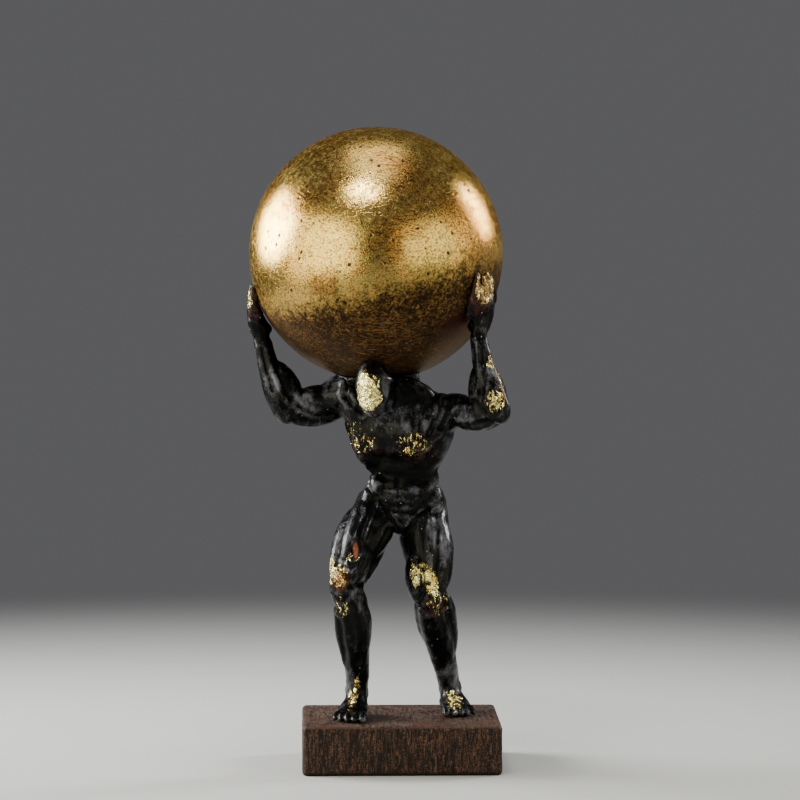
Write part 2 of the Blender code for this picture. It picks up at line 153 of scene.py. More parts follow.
class Clay:
    """Gathers limbs and muscles, which overlap freely until they are fused."""

    def __init__(self):
        self.points = []
        self.faces = []
        self.count = 0

    def rings(self, rings):
        """Skins a stack of rings, an array of shape (rings, sides, 3), and caps both ends."""
        steps, sides, _ = rings.shape
        faces = skin_faces(steps, sides) + self.count
        low = (np.arange(sides)[::-1] + self.count).tolist()
        high = (np.arange(sides) + (steps - 1) * sides + self.count).tolist()
        self.points.append(rings.reshape(-1, 3))
        self.faces += faces.tolist() + [low, high]
        self.count += steps * sides

    def limb(self, path, half_widths, half_depths, front, steps=24, sides=24):
        """Ellipses c(t) + w(t)·cos(a)·side + d(t)·sin(a)·front along a path c, with domed ends."""
        axis = smooth_through(path, steps)
        wide = smooth_through(half_widths, steps)[:, 0] * UNIT
        deep = smooth_through(half_depths, steps)[:, 0] * UNIT
        facing = smooth_through(front, steps) if np.ndim(front) == 2 else np.tile(front, (steps, 1))
        run = np.gradient(axis, axis=0)
        run /= np.linalg.norm(run, axis=1)[:, None]
        side = np.cross(facing, run)
        side /= np.linalg.norm(side, axis=1)[:, None]
        depth = np.cross(run, side)
        first, last = np.zeros(len(DOME), int), np.full(len(DOME), steps - 1)
        pick = np.concatenate([first, np.arange(steps), last])
        scale = np.concatenate([DOME, np.ones(steps), DOME[::-1]])[:, None, None]
        push = np.concatenate([-DOME_REACH, np.zeros(steps), DOME_REACH[::-1]])[:, None]
        centre = axis[pick] + run[pick] * wide[pick, None] * push
        turn = np.linspace(0, 2 * math.pi, sides, endpoint=False)[None, :, None]
        across = np.cos(turn) * (wide[pick, None] * side[pick])[:, None, :]
        forward = np.sin(turn) * (deep[pick, None] * depth[pick])[:, None, :]
        self.rings(centre[:, None, :] + scale * (across + forward))

    def muscle(self, start, end, half_width, half_depth, front, belly=0.5, steps=19, sides=18):
        """A spindle with radius sin(pi·s)^0.62, where s is bent to put the belly at its share."""
        t = np.linspace(0, 1, steps)
        skew = t ** (math.log(0.5) / math.log(belly))
        thick = np.sin(math.pi * np.clip(skew, 0.002, 0.998)) ** SPINDLE_POWER
        run = unit_vector(end - start)
        side = unit_vector(np.cross(front, run))
        depth = np.cross(run, side)
        axis = start + np.outer(t, end - start)
        turn = np.linspace(0, 2 * math.pi, sides, endpoint=False)
        circle = np.outer(np.cos(turn) * half_width, side)
        circle = circle + np.outer(np.sin(turn) * half_depth, depth)
        self.rings(axis[:, None, :] + thick[:, None, None] * circle[None, :, :] * UNIT)

    def ball(self, centre, radii, front=(0, -1, 0), up=(0, 0, 1)):
        """A pad with half sizes (across, towards front, along up)."""
        up = unit_vector(up)
        across, deep, long = radii
        self.muscle(centre - up * long * UNIT, centre + up * long * UNIT, across, deep, front)


# %% [markdown]
# ## The pose
#
# A posed body is easier to describe from inside it. A block, such as the chest, has its own left,
# front and top, turned and tipped as the pose asks. A bone runs from joint to joint and knows its
# front and its outer side. Muscles are then placed on blocks and bones as in an anatomy book, and
# the pose takes them where they belong.

# %% Blocks and bones
class Block:
    """A body block, turned by yaw, leaning forward by lean and tipped by roll, in degrees."""

    def __init__(self, centre, yaw, lean, roll):
        self.centre = centre
        turn, pitch, tip = (math.radians(v) for v in (yaw, lean, roll))
        front = np.array([-math.sin(turn), -math.cos(turn), 0.0])
        left = np.array([math.cos(turn), -math.sin(turn), 0.0])
        up = np.array([0.0, 0.0, 1.0])
        self.front = front * math.cos(pitch) - up * math.sin(pitch)
        leaning = up * math.cos(pitch) + front * math.sin(pitch)
        self.left = left * math.cos(tip) - leaning * math.sin(tip)
        self.up = leaning * math.cos(tip) + left * math.sin(tip)

    def at(self, left, forward, up):
        return self.centre + (self.left * left + self.front * forward + self.up * up) * UNIT


class Bone:
    """A straight bone with its front and its outer side."""

    def __init__(self, start, end, front, outer):
        self.start, self.end = start, end
        self.run = unit_vector(end - start)
        self.front = unit_vector(np.asarray(front, float) - np.dot(front, self.run) * self.run)
        side = np.cross(self.run, self.front)
        self.outer = side * math.copysign(1, np.dot(side, outer))

    def at(self, share, out, forward):
        along = self.start + (self.end - self.start) * share
        return along + (self.outer * out + self.front * forward) * UNIT

    def swell(self, clay, muscles):
        """Muscles given by both ends (share, angle from front to outer, distance), sizes and belly."""
        for start, end, half_width, half_depth, belly in muscles:
            share, angle, distance = np.array([start, end], float).T
            turn = np.radians(angle)[:, None]
            way = self.front * np.cos(turn) + self.outer * np.sin(turn)
            along = self.start + (self.end - self.start) * share[:, None]
            a, b = along + way * distance[:, None] * UNIT
            clay.muscle(a, b, half_width, half_depth, unit_vector(way.sum(axis=0)), belly)


CHEST = Block(units(-1.6, -1, 142), yaw=26, lean=12, roll=3)
WAIST = Block(units(2.4, 2.5, 121), yaw=16, lean=8, roll=1)
PELVIS = Block(units(1.6, 5, 105), yaw=7, lean=4, roll=0)
HEAD = Block(units(-13.0, -25, 166), yaw=27, lean=14, roll=-2)
NAPE = Block(BALL_CENTRE - np.array([0, 0, BALL_RADIUS]), yaw=26, lean=0, roll=0)
SIDES = {"right": -1, "left": 1}
SHOULDER = {"right": units(-27, 11, 157), "left": units(26, -12, 153)}
ELBOW = {"right": units(-57.5, 2, 152.5), "left": units(47.5, -35, 155)}
HIP = {"right": units(-13, 4, 101), "left": units(12.5, 8, 100)}
KNEE = {"right": units(-28.6, -23, 65.5), "left": units(15.2, -13, 57)}
ANKLE = {"right": units(-21.6, -3, 12.5), "left": units(25.6, 16, 12)}
TOE_WAY = {"right": unit_vector((-0.16, -1, 0)), "left": unit_vector((0.13, -1, 0))}
KNEE_WAY = {"right": unit_vector((-0.62, -1, 0.25)), "left": unit_vector((-0.05, -1, 0.25))}
PALM_WAY = {"right": unit_vector((-0.923, 0.02, -0.42)), "left": unit_vector((0.80, -0.47, -0.36))}
FINGER_WAY = {"right": unit_vector((-0.970, 0.0, -0.22)), "left": unit_vector((0.83, -0.56, -0.12))}
WRIST_WAY = {"right": unit_vector((-0.815, 0.0, -0.58)), "left": unit_vector((0.70, -0.45, -0.55))}

# %% [markdown]
# ## Torso
#
# The trunk is one tapering roll from groin to neck. Over it go the fans of the chest, the broad
# muscles of the back, the sides of the belly, and two pairs of pads down its middle. The chest is
# turned to the statue's right, so everything on it is placed in the chest's own directions.

# %% Lay up the torso
def model_torso(clay):
    path = [PELVIS.at(0, 0, -8), PELVIS.at(0, 0, -1), PELVIS.at(0, 0, 7), WAIST.centre,
            CHEST.at(0.6, -3.2, -12), CHEST.at(0.0, -0.6, -2), CHEST.at(0, 0, 7),
            CHEST.at(0, -1, 16), CHEST.at(-2, 3, 24)]
    half_widths = [8, 16.5, 18.5, 17.0, 17.6, 22.5, 24.5, 17, 9]
    half_depths = [8, 11.5, 11.5, 10.5, 11.5, 13.5, 13.5, 10.5, 8]
    front = [PELVIS.front] * 3 + [WAIST.front] + [CHEST.front] * 5
    clay.limb(path, half_widths, half_depths, front, steps=36, sides=32)
    clay.limb([CHEST.at(-25, -2, 14), CHEST.at(0, 5, 12), CHEST.at(25, -2, 14)],
              [7.5, 8, 7.5], [8, 9.5, 8], CHEST.up)
    clay.ball(PELVIS.at(0, 7.6, -6), [8.5, 5.4, 8], PELVIS.front)
    clay.ball(PELVIS.at(0, 6.6, 5), [14, 5.6, 8.5], PELVIS.front)
    clay.muscle(units(-22.5, -3, 151), units(-12.5, 0, 121), 6.6, 9, CHEST.front, belly=0.40)
    clay.ball(CHEST.at(0, 8.2, 2), [11, 6.2, 13], CHEST.front)
    clay.ball(PELVIS.at(-1.5, 0, -9.5), [7.5, 9, 6], PELVIS.front)
    for s in SIDES.values():
        model_chest_side(clay, s)
        model_belly_side(clay, s)


# Where the broad back muscle is thickest, as a share of its length, on the right and left side
BACK_BELLY = {-1: 0.36, 1: 0.26}


def model_chest_side(clay, s):
    """Chest fan in two bands, broad back muscle, shoulder blade, spine, neck slope and ribs."""
    c = CHEST
    clay.muscle(c.at(s * -1.5, 11, -2.5), c.at(s * 27, 4, 5), 10.5, 7.6, c.front, belly=0.40)
    clay.muscle(c.at(s * -1, 9.5, 5), c.at(s * 28, 2, 9), 9, 6.4, c.front, belly=0.42)
    clay.muscle(c.at(s * 25.5, -3, 10), c.at(s * 10 + 2.6, -7, -27), 6.0, 9.5, c.front,
                belly=BACK_BELLY[s])
    clay.muscle(c.at(s * 2, -10, -1), c.at(s * 27, -6, 12), 10, 6, c.front)
    column = [PELVIS.at(s * 4.5, -8, 2), WAIST.at(s * 5, -7.5, 0),
              c.at(s * 5, -10, -6), c.at(s * 5, -8, 14)]
    clay.limb(column, [4, 5, 5, 5], [4, 4.2, 5, 5], c.front)
    clay.muscle(c.at(s * -5, 1, 20), c.at(s * 35, -4, 13), 9.5, 6.8, c.up, belly=0.42)
    clay.muscle(c.at(s * 4, 6.4, 2), c.at(s * 15, 3.4, -14), 8, 5, c.front)


def model_belly_side(clay, s):
    """Side of the belly, seat muscle, hip pad, and two pads of the straight belly muscle."""
    p = PELVIS
    clay.muscle(p.at(s * 12.5, 2, -2), p.at(s * 11, 3, 25), 5, 8.5, p.front, belly=0.42)
    clay.muscle(p.at(s * 4, -6, 8), p.at(s * 12, -5, -16), 10, 9, p.front)
    clay.ball(p.at(s * 16.2, 2.5, 3), [5, 8.5, 9], p.front)
    clay.ball(p.at(s * 5, 7.0, 4), [6.6, 4.9, 6.6], p.front)
    clay.ball(WAIST.at(s * 5, 5.8, -5), [7.4, 4.7, 6.4], p.front)


# %% [markdown]
# ## Head and nape
#
# The head is a smooth blank egg, as on a mannequin: the painter covered the face with leaf, and no
# features are cut. It hangs forward, and the nape behind it swells up to make the ball's bed. From
# there the slopes of the neck run down between the shoulder blades, and a few short pads fill the
# way to both shoulders.

# %% Lay up the head
def model_head(clay):
    h, n, c = HEAD, NAPE, CHEST
    clay.limb([c.at(-1, 2, 16), h.at(0, -6, -5), h.at(0, -2, 1)], [11, 8, 6.5], [9, 8, 6.5],
              h.front)
    clay.limb([h.at(0, -3, 7), h.at(0, -1, 3.5), h.at(0, 0.5, -1.5)], [7.0, 8.8, 8.0],
              [8, 10.6, 9], h.front)
    clay.limb([h.at(0, 2.4, 7), h.at(0, 4.0, 1), h.at(0, 4.2, -5), h.at(0, 4.0, -7.5)],
              [7.2, 8.2, 7.8, 6.8], [6.4, 6.8, 6.4, 5.8], h.front)
    clay.limb([n.at(7, 1, -15), n.at(3.8, 1, -6), n.at(0.4, 1, 3)], [21, 21.5, 22.0],
              [11, 13, 16.5], c.front, sides=32)
    for s in SIDES.values():
        clay.muscle(n.at(s * 9, -11, 1), c.at(s * 3, -10, -8), 11, 6.5, -c.front, belly=0.38)
        clay.muscle(n.at(s * 14, -9, -2), c.at(s * 24, -6, 6), 7, 5.5, -c.front, belly=0.40)
    clay.muscle(n.at(-8, 1, -2), units(-44, 7, 158.5), 7.5, 8, (0, 0, 1), belly=0.45)
    clay.muscle(n.at(6, 1, -8), units(36, -11, 155), 7, 5.5, (0, 0, 1), belly=0.42)
    clay.ball(units(-34, 3.2, 160.4), [6.2, 7, 6.2])
    clay.muscle(units(-29, 4, 163), units(-57, 2, 158.5), 6, 5.2, (0, 0, 1), belly=0.45)
    clay.muscle(units(-33, 2, 167), units(-14, -9, 147), 8, 7, (0, -1, 0.2), belly=0.45)
    clay.muscle(units(-6, -15, 169), units(20, -14, 155), 7, 7, (0, -1, 0.4), belly=0.45)


# %% [markdown]
# ## Arms and hands
#
# Both arms bend sharply, so the forearm's mass bulges at the crook. The hands lie open on the ball.
# Their places are given as directions from the ball's centre, so a hand always rests on the ball
# whatever its size. Two small pads make the heel of the hand.

# %% Lay up the arms
# Lengths of the four fingers, and for the thumb: how far apart, length, drift and stoutness
FINGERS = {"right": (10.5, 12.0, 11.5, 9.0), "left": (12.5, 14.5, 14.0, 11.0)}
THUMB = {"right": (5.5, 15, 2.4, 1.0), "left": (9.0, 19.5, -2.8, 1.45)}
WRIST_HEIGHT, PALM_HEIGHT = 7.4, 3.4
# How far the forearm swings in towards the ball, low and high, and how far in both ends of the
# muscle at its crook lie
FORE_SWING = {"right": (-0.6, -0.8, 7.2, 1.8), "left": (1.8, 1.6, 8.0, 4.0)}


def on_ball(place, height):
    """The point over a place, at a height in body units above the ball's surface."""
    return BALL_CENTRE + unit_vector(place - BALL_CENTRE) * (BALL_RADIUS + height * UNIT)


def model_arm(clay, side):
    wrist = BALL_CENTRE + WRIST_WAY[side] * (BALL_RADIUS + WRIST_HEIGHT * UNIT)
    inward = -unit_vector(WRIST_WAY[side] * np.array([1, 1, 0]))
    elbow = ELBOW[side]
    upper = Bone(SHOULDER[side], elbow, (0, 0, 1), CHEST.front)
    fore = Bone(elbow, wrist, inward, CHEST.front)
    low, high, crook, crook_end = FORE_SWING[side]
    clay.limb([upper.at(-0.1, 0, 0), upper.at(0.25, 0, 0), upper.at(0.6, 0, -0.5), elbow],
              [8, 7.2, 7, 6], [8, 8, 8, 6], upper.front)
    upper.swell(clay, [
        ((-0.28, 60, 4), (0.52, 70, 3), 6.5, 6, 0.42),
        ((-0.30, 0, 4), (0.56, 10, 3), 6.5, 6, 0.42),
        ((-0.28, -75, 4), (0.50, -60, 2.5), 6.5, 6, 0.42),
        ((0.18, 15, 3), (1.0, 5, 3), 6.2, 5.8, 0.6),
        ((0.02, 150, 5), (1.0, 165, 4), 6, 6.2, 0.52),
        ((0.08, 210, 5), (1.0, 195, 4), 6, 6.2, 0.56),
    ])
    clay.ball(fore.at(-0.01, 0, -1.6), [4.4, 4.2, 5], fore.front, fore.run)
    clay.limb([elbow, fore.at(0.3, 0, low), fore.at(0.65, 0, high), wrist],
              [6.6, 6.9, 4.9, 4.2], [6.2, 7.0, 5.2, 4.2], fore.front)
    fore.swell(clay, [
        ((-0.04, 10, crook), (0.68, 0, crook_end), 6.4, 6.8, 0.45),
        ((-0.04, 85, 3.5), (0.78, 80, 1), 5, 5.2, 0.36),
        ((-0.04, -85, 3.5), (0.78, -80, 1), 5, 5.2, 0.36),
    ])
    model_hand(clay, side, wrist)


def model_hand(clay, side, wrist):
    """Palm, four fingers along the ball's curve, and the thumb apart."""
    palm_way = PALM_WAY[side]
    palm = on_ball(BALL_CENTRE + palm_way, PALM_HEIGHT)
    middle = (wrist + palm) / 2 + palm_way * UNIT
    clay.limb([wrist, middle, palm], [4.0, 5.8, 7.0], [4.0, 4.2, 3.8], palm_way)
    way = unit_vector(FINGER_WAY[side] - np.dot(FINGER_WAY[side], palm_way) * palm_way)
    across = np.cross(palm_way, way)
    for finger, reach in enumerate(FINGERS[side]):
        spread = (finger - 1.5) * 3.4
        points = []
        for share in (0.0, 0.4, 0.75, 1.0):
            place = palm + (across * spread * (1 + 0.1 * share) + way * reach * share) * UNIT
            points.append(on_ball(place, PALM_HEIGHT - 2.5 * share))
        clay.limb(points, [2.05, 2.0, 1.7, 1.0], [3.0, 2.7, 1.9, 0.9], palm_way, sides=12)
    inner = across * math.copysign(1, np.dot(across, CHEST.front))
    apart, long, drift, stout = THUMB[side]
    root = wrist * 0.24 + palm * 0.76 + inner * apart * UNIT
    points = [on_ball(root + (inner * drift + way * long) * share * UNIT, 2.6 - 1.6 * share)
              for share in (0.0, 0.5, 1.0)]
    clay.limb(points, np.array([3.0, 2.6, 1.5]) * stout, [2.8, 2.1, 1.1], palm_way, sides=12)
    heel, below = wrist * 0.65 + palm * 0.35, wrist * 0.88 + palm * 0.12
    clay.ball(on_ball(heel + inner * 1.5 * UNIT, 2.2), [3.0, 1.8, 6.5], palm_way, way)
    clay.ball(on_ball(below + inner * UNIT, 1.6), [3.0, 2.0, 3.6], palm_way, way)


# %% [markdown]
# ## Legs and feet
#
# Bent, braced legs: four muscles round the thigh, the drop of muscle over the inner knee, two heads
# of the calf and the heel cord. Each foot is a wedge with five toes. The photograph shows the left
# shank bulging outwards and the right one slim, so each leg has its own numbers.

# %% Lay up the legs
# Distances from the bone: the outer thigh muscle, then the inner knee drop and the inner thigh
THIGH_OUTER = {"right": 9.6, "left": 6.8}
THIGH_INNER = {"right": (7.0, 6.8), "left": (8.6, 7.4)}
# The outer shin muscle's distance and width, and the front one's distance
SHIN_OUTER = {"right": (1.0, 4.0, 2.8), "left": (7.4, 5.4, 5.0)}
# The shank's sideways swing and its half width, high and lower down
SHANK_SWING = {"right": (-3.9, -2.4), "left": (0.0, 0.0)}
SHANK_WIDE = {"right": (7.0, 7.5), "left": (7.5, 8.6)}
# The outer calf's distance and width
CALF_OUTER = {"right": (2.4, 4.2), "left": (5.5, 6.3)}
# Each toe, from the big one: how far out, how far forward, and half its thickness
TOES = ((-5.9, 25.0, 2.3), (-1.8, 25.4, 1.8), (1.7, 24.6, 1.75), (5.0, 23.0, 1.7), (8.1, 20.6, 1.65))


def model_leg(clay, side):
    hip, knee, ankle, way = HIP[side], KNEE[side], ANKLE[side], KNEE_WAY[side]
    outward = (SIDES[side], 0, 0)
    high_swing, low_swing = SHANK_SWING[side]
    top_wide, high_wide = SHANK_WIDE[side]
    drop, flesh = THIGH_INNER[side]
    calf_out, calf_wide = CALF_OUTER[side]
    shin_out, shin_wide, shin_front = SHIN_OUTER[side]
    thigh = Bone(hip, knee, way, outward)
    shank = Bone(knee, ankle, unit_vector(way * np.array([1, 1, 0])), outward)
    clay.limb([thigh.at(-0.14, 0, -1), thigh.at(0.25, 0, 0), thigh.at(0.65, 0, 0), knee],
              [11.5, 11.8, 9.6, 7.4], [11.5, 12, 10, 7.6], thigh.front)
    thigh.swell(clay, [
        ((-0.12, 10, 7), (0.94, 0, 4.5), 7, 6.5, 0.45),
        ((-0.06, 74, THIGH_OUTER[side]), (0.98, 55, 6), 8, 7, 0.46),
        ((0.28, -52, drop), (1.04, -50, drop - 1.8), 6.4, 6.2, 0.62),
        ((-0.20, -100, flesh), (0.80, -90, flesh - 2), 8, 7, 0.40),
        ((-0.05, 145, 7), (1.04, 140, 4), 6.5, 6.5, 0.5),
        ((-0.05, 215, 7), (1.04, 220, 4), 6.5, 6.5, 0.5),
    ])
    clay.ball(thigh.at(0.99, 0, 4.6), [5.6, 4.4, 6.4], thigh.front, shank.run)
    clay.ball(shank.at(0.17, 0, 4.0), [4.0, 3.6, 6.0], shank.front, shank.run)
    clay.limb([knee, shank.at(0.28, high_swing, -1), shank.at(0.62, low_swing, 0), ankle],
              [top_wide, high_wide, 6.6, 5.6], [7.4, 8.6, 6.8, 5.8], shank.front)
    shank.swell(clay, [
        ((-0.12, 226, 5.2), (0.66, 215, 3.6), 7.0, 6.6, 0.46),
        ((-0.02, 140, calf_out), (0.58, 150, 3), calf_wide, 6.2, 0.42),
        ((0.06, 50, shin_front), (0.85, 30, 3), 4.2, 4.4, 0.4),
        ((-0.10, 100, shin_out), (0.80, 110, 2.5), shin_wide, 5.4, 0.40),
        ((0.38, 180, 5), (1.08, 180, 5.5), 3.2, 3.0, 0.4),
    ])
    model_foot(clay, side, shank)


def model_foot(clay, side, shank):
    ankle, way = ANKLE[side], TOE_WAY[side]
    across = np.array([-way[1], way[0], 0.0]) * SIDES[side]
    ground = np.array([ankle[0], ankle[1], SOLE_HEIGHT])

    def on_ground(forward, out, up):
        return ground + (way * forward + across * out + np.array([0, 0, up])) * UNIT

    clay.ball(shank.at(0.98, 3.6, -0.5), [2.2, 3.0, 4.2])
    clay.ball(shank.at(0.94, -3.6, 0.5), [2.2, 3.0, 4.2])
    clay.ball(shank.at(1.0, 0, 0.6), [6.3, 6.2, 8.5], shank.front, shank.run)
    instep = [ankle, on_ground(4.5, 0, 8.0), on_ground(12, 0.4, 4.8), on_ground(16.5, 0.8, 3.0)]
    clay.limb(instep, [5.4, 6.0, 7.4, 7.8], [5.2, 5.0, 3.8, 2.5], (0, 0, 1))
    clay.ball(on_ground(-4.5, 0, 4.0), [4.8, 5.2, 5.0])
    sole = [on_ground(-3, 0, 2), on_ground(8, 1.5, 2), on_ground(15.5, 0.5, 2)]
    clay.limb(sole, [4.6, 5.6, 7.2], [2.8, 2.8, 2.3], (0, 0, 1))
    for out, reach, thick in TOES:
        path = [on_ground(15.0, out * 0.80, 2.6), on_ground(reach - 3.4, out, 2.8),
                on_ground(reach, out * 1.06, 1.2)]
        clay.limb(path, [thick, thick, thick * 0.9], [thick, thick * 1.05, thick * 0.9], (0, 0, 1),
                  sides=12)


# %% [markdown]
# ## Fuse the clay
#
# The pads still overlap. A voxel remesh wraps all of them in one even skin, as a thumb smears clay
# over the joins, and a smoothing pass takes the steps out of it. A fine grain keeps the toes and
# fingers, but it gives many triangles. So the skin is thinned last, to a share worked out from the
# count, and stays under 200,000 triangles.

# %% One skin
CLAY_GRAIN = 0.60
CLAY_SMOOTHING, SMOOTHING_SHARE = 7, 0.5
MOST_TRIANGLES = 196000


def fuse(clay):
    """Remesh, smooth and thin the gathered clay, and hand back the mesh of the skin."""
    lump = bpy.data.objects.new("clay", mesh_of("clay", np.vstack(clay.points), clay.faces))
    bpy.context.scene.collection.objects.link(lump)
    wrap = lump.modifiers.new("wrap", "REMESH")
    wrap.mode = "VOXEL"
    wrap.voxel_size = CLAY_GRAIN * UNIT
    rub = lump.modifiers.new("rub", "SMOOTH")
    rub.factor = SMOOTHING_SHARE
    rub.iterations = CLAY_SMOOTHING
    thin = lump.modifiers.new("thin", "DECIMATE")
    thin.ratio = 1
    whole = lump.evaluated_get(bpy.context.evaluated_depsgraph_get())
    triangles = sum(len(face.vertices) - 2 for face in whole.data.polygons)
    thin.ratio = min(1, MOST_TRIANGLES / triangles)
    thinned = lump.evaluated_get(bpy.context.evaluated_depsgraph_get())
    fused = bpy.data.meshes.new_from_object(thinned)
    print("grain gave", triangles, "triangles")
    bpy.data.objects.remove(lump)
    return fused


clay = Clay()
model_torso(clay)
model_head(clay)
for side in SIDES:
    model_arm(clay, side)
    model_leg(clay, side)
body_mesh = fuse(clay)
body_mesh.name = "figure_skin"
print("fused skin", len(body_mesh.vertices), "points", len(body_mesh.polygons), "faces")

# %% [markdown]
# ## The sculptor's tool
#
# The fused skin is soft, like wet clay. The real casting is crisper: its muscles stand apart, with
# tooled creases between them. The work on it needs three things: all points as one array, their
# normals, and an average over neighbours. An edge list gives that average without a loop over
# points, because np.bincount adds up what arrives at each end.

# %% Points, normals and neighbours
class Skin:
    """The points of a mesh as one array, with what is needed to average over neighbours."""

    def __init__(self, mesh):
        self.mesh = mesh
        self.count = len(mesh.vertices)
        self.edges = np.empty(len(mesh.edges) * 2, np.int32)
        mesh.edges.foreach_get("vertices", self.edges)
        self.ends = self.edges.reshape(-1, 2).T
        self.valence = np.maximum(np.bincount(self.edges, minlength=self.count), 1)
        self.points = self.read(mesh.vertices, "co")

    def read(self, rows, field):
        values = np.empty(len(rows) * 3, np.float32)
        rows.foreach_get(field, values)
        return values.reshape(-1, 3).astype(float)

    def write(self):
        self.mesh.vertices.foreach_set("co", self.points.astype(np.float32).ravel())
        self.mesh.update()

    def normals(self):
        self.write()
        return self.read(self.mesh.vertex_normals, "vector")

    def averaged(self, values, times):
        """Half of each value and half of the mean over its neighbours, repeated."""
        a, b = self.ends
        rows = values.reshape(self.count, -1)
        for _ in range(times):
            total = [np.bincount(a, v[b], self.count) + np.bincount(b, v[a], self.count)
                     for v in rows.T]
            rows = (rows + np.array(total).T / self.valence[:, None]) / 2
        return rows.reshape(values.shape)

    def height(self, times):
        """How far each point stands above the averaged skin, along its normal, in body units."""
        return ((self.points - self.averaged(self.points, times)) * self.normals()).sum(1) / UNIT

    def raise_by(self, amount):
        """Moves each point along its normal by an amount in body units."""
        self.points += self.normals() * (amount * UNIT)[:, None]


CELLS = 32


def lumps(points, size, seed):
    """A smooth field from -1 to 1: random values at the corners of cells, blended by s*s*(3 - 2s)."""
    table = np.random.default_rng(seed).uniform(-1, 1, (CELLS, CELLS, CELLS))
    place = points / size
    low = np.floor(place).astype(int)
    s = place - low
    s = s * s * (3 - 2 * s)
    total = np.zeros(len(points))
    for corner in np.ndindex(2, 2, 2):
        weight = np.prod(np.where(corner, s, 1 - s), axis=1)
        total += weight * table[tuple(((low + corner) % CELLS).T)]
    return total


def ease(low, high, value):
    """0 below low, 1 above high, and s*s*(3 - 2s) between."""
    s = np.clip((value - low) / (high - low), 0, 1)
    return s * s * (3 - 2 * s)


# %% [markdown]
# ## Creases
#
# The creases below are measured in the front view: across, and up from the soles, in body units.
# Each has a half width and a depth, and a negative depth makes a ridge. A group reaches only through
# its own range of depth, so that a line on the chest does not mark the head in front of it.

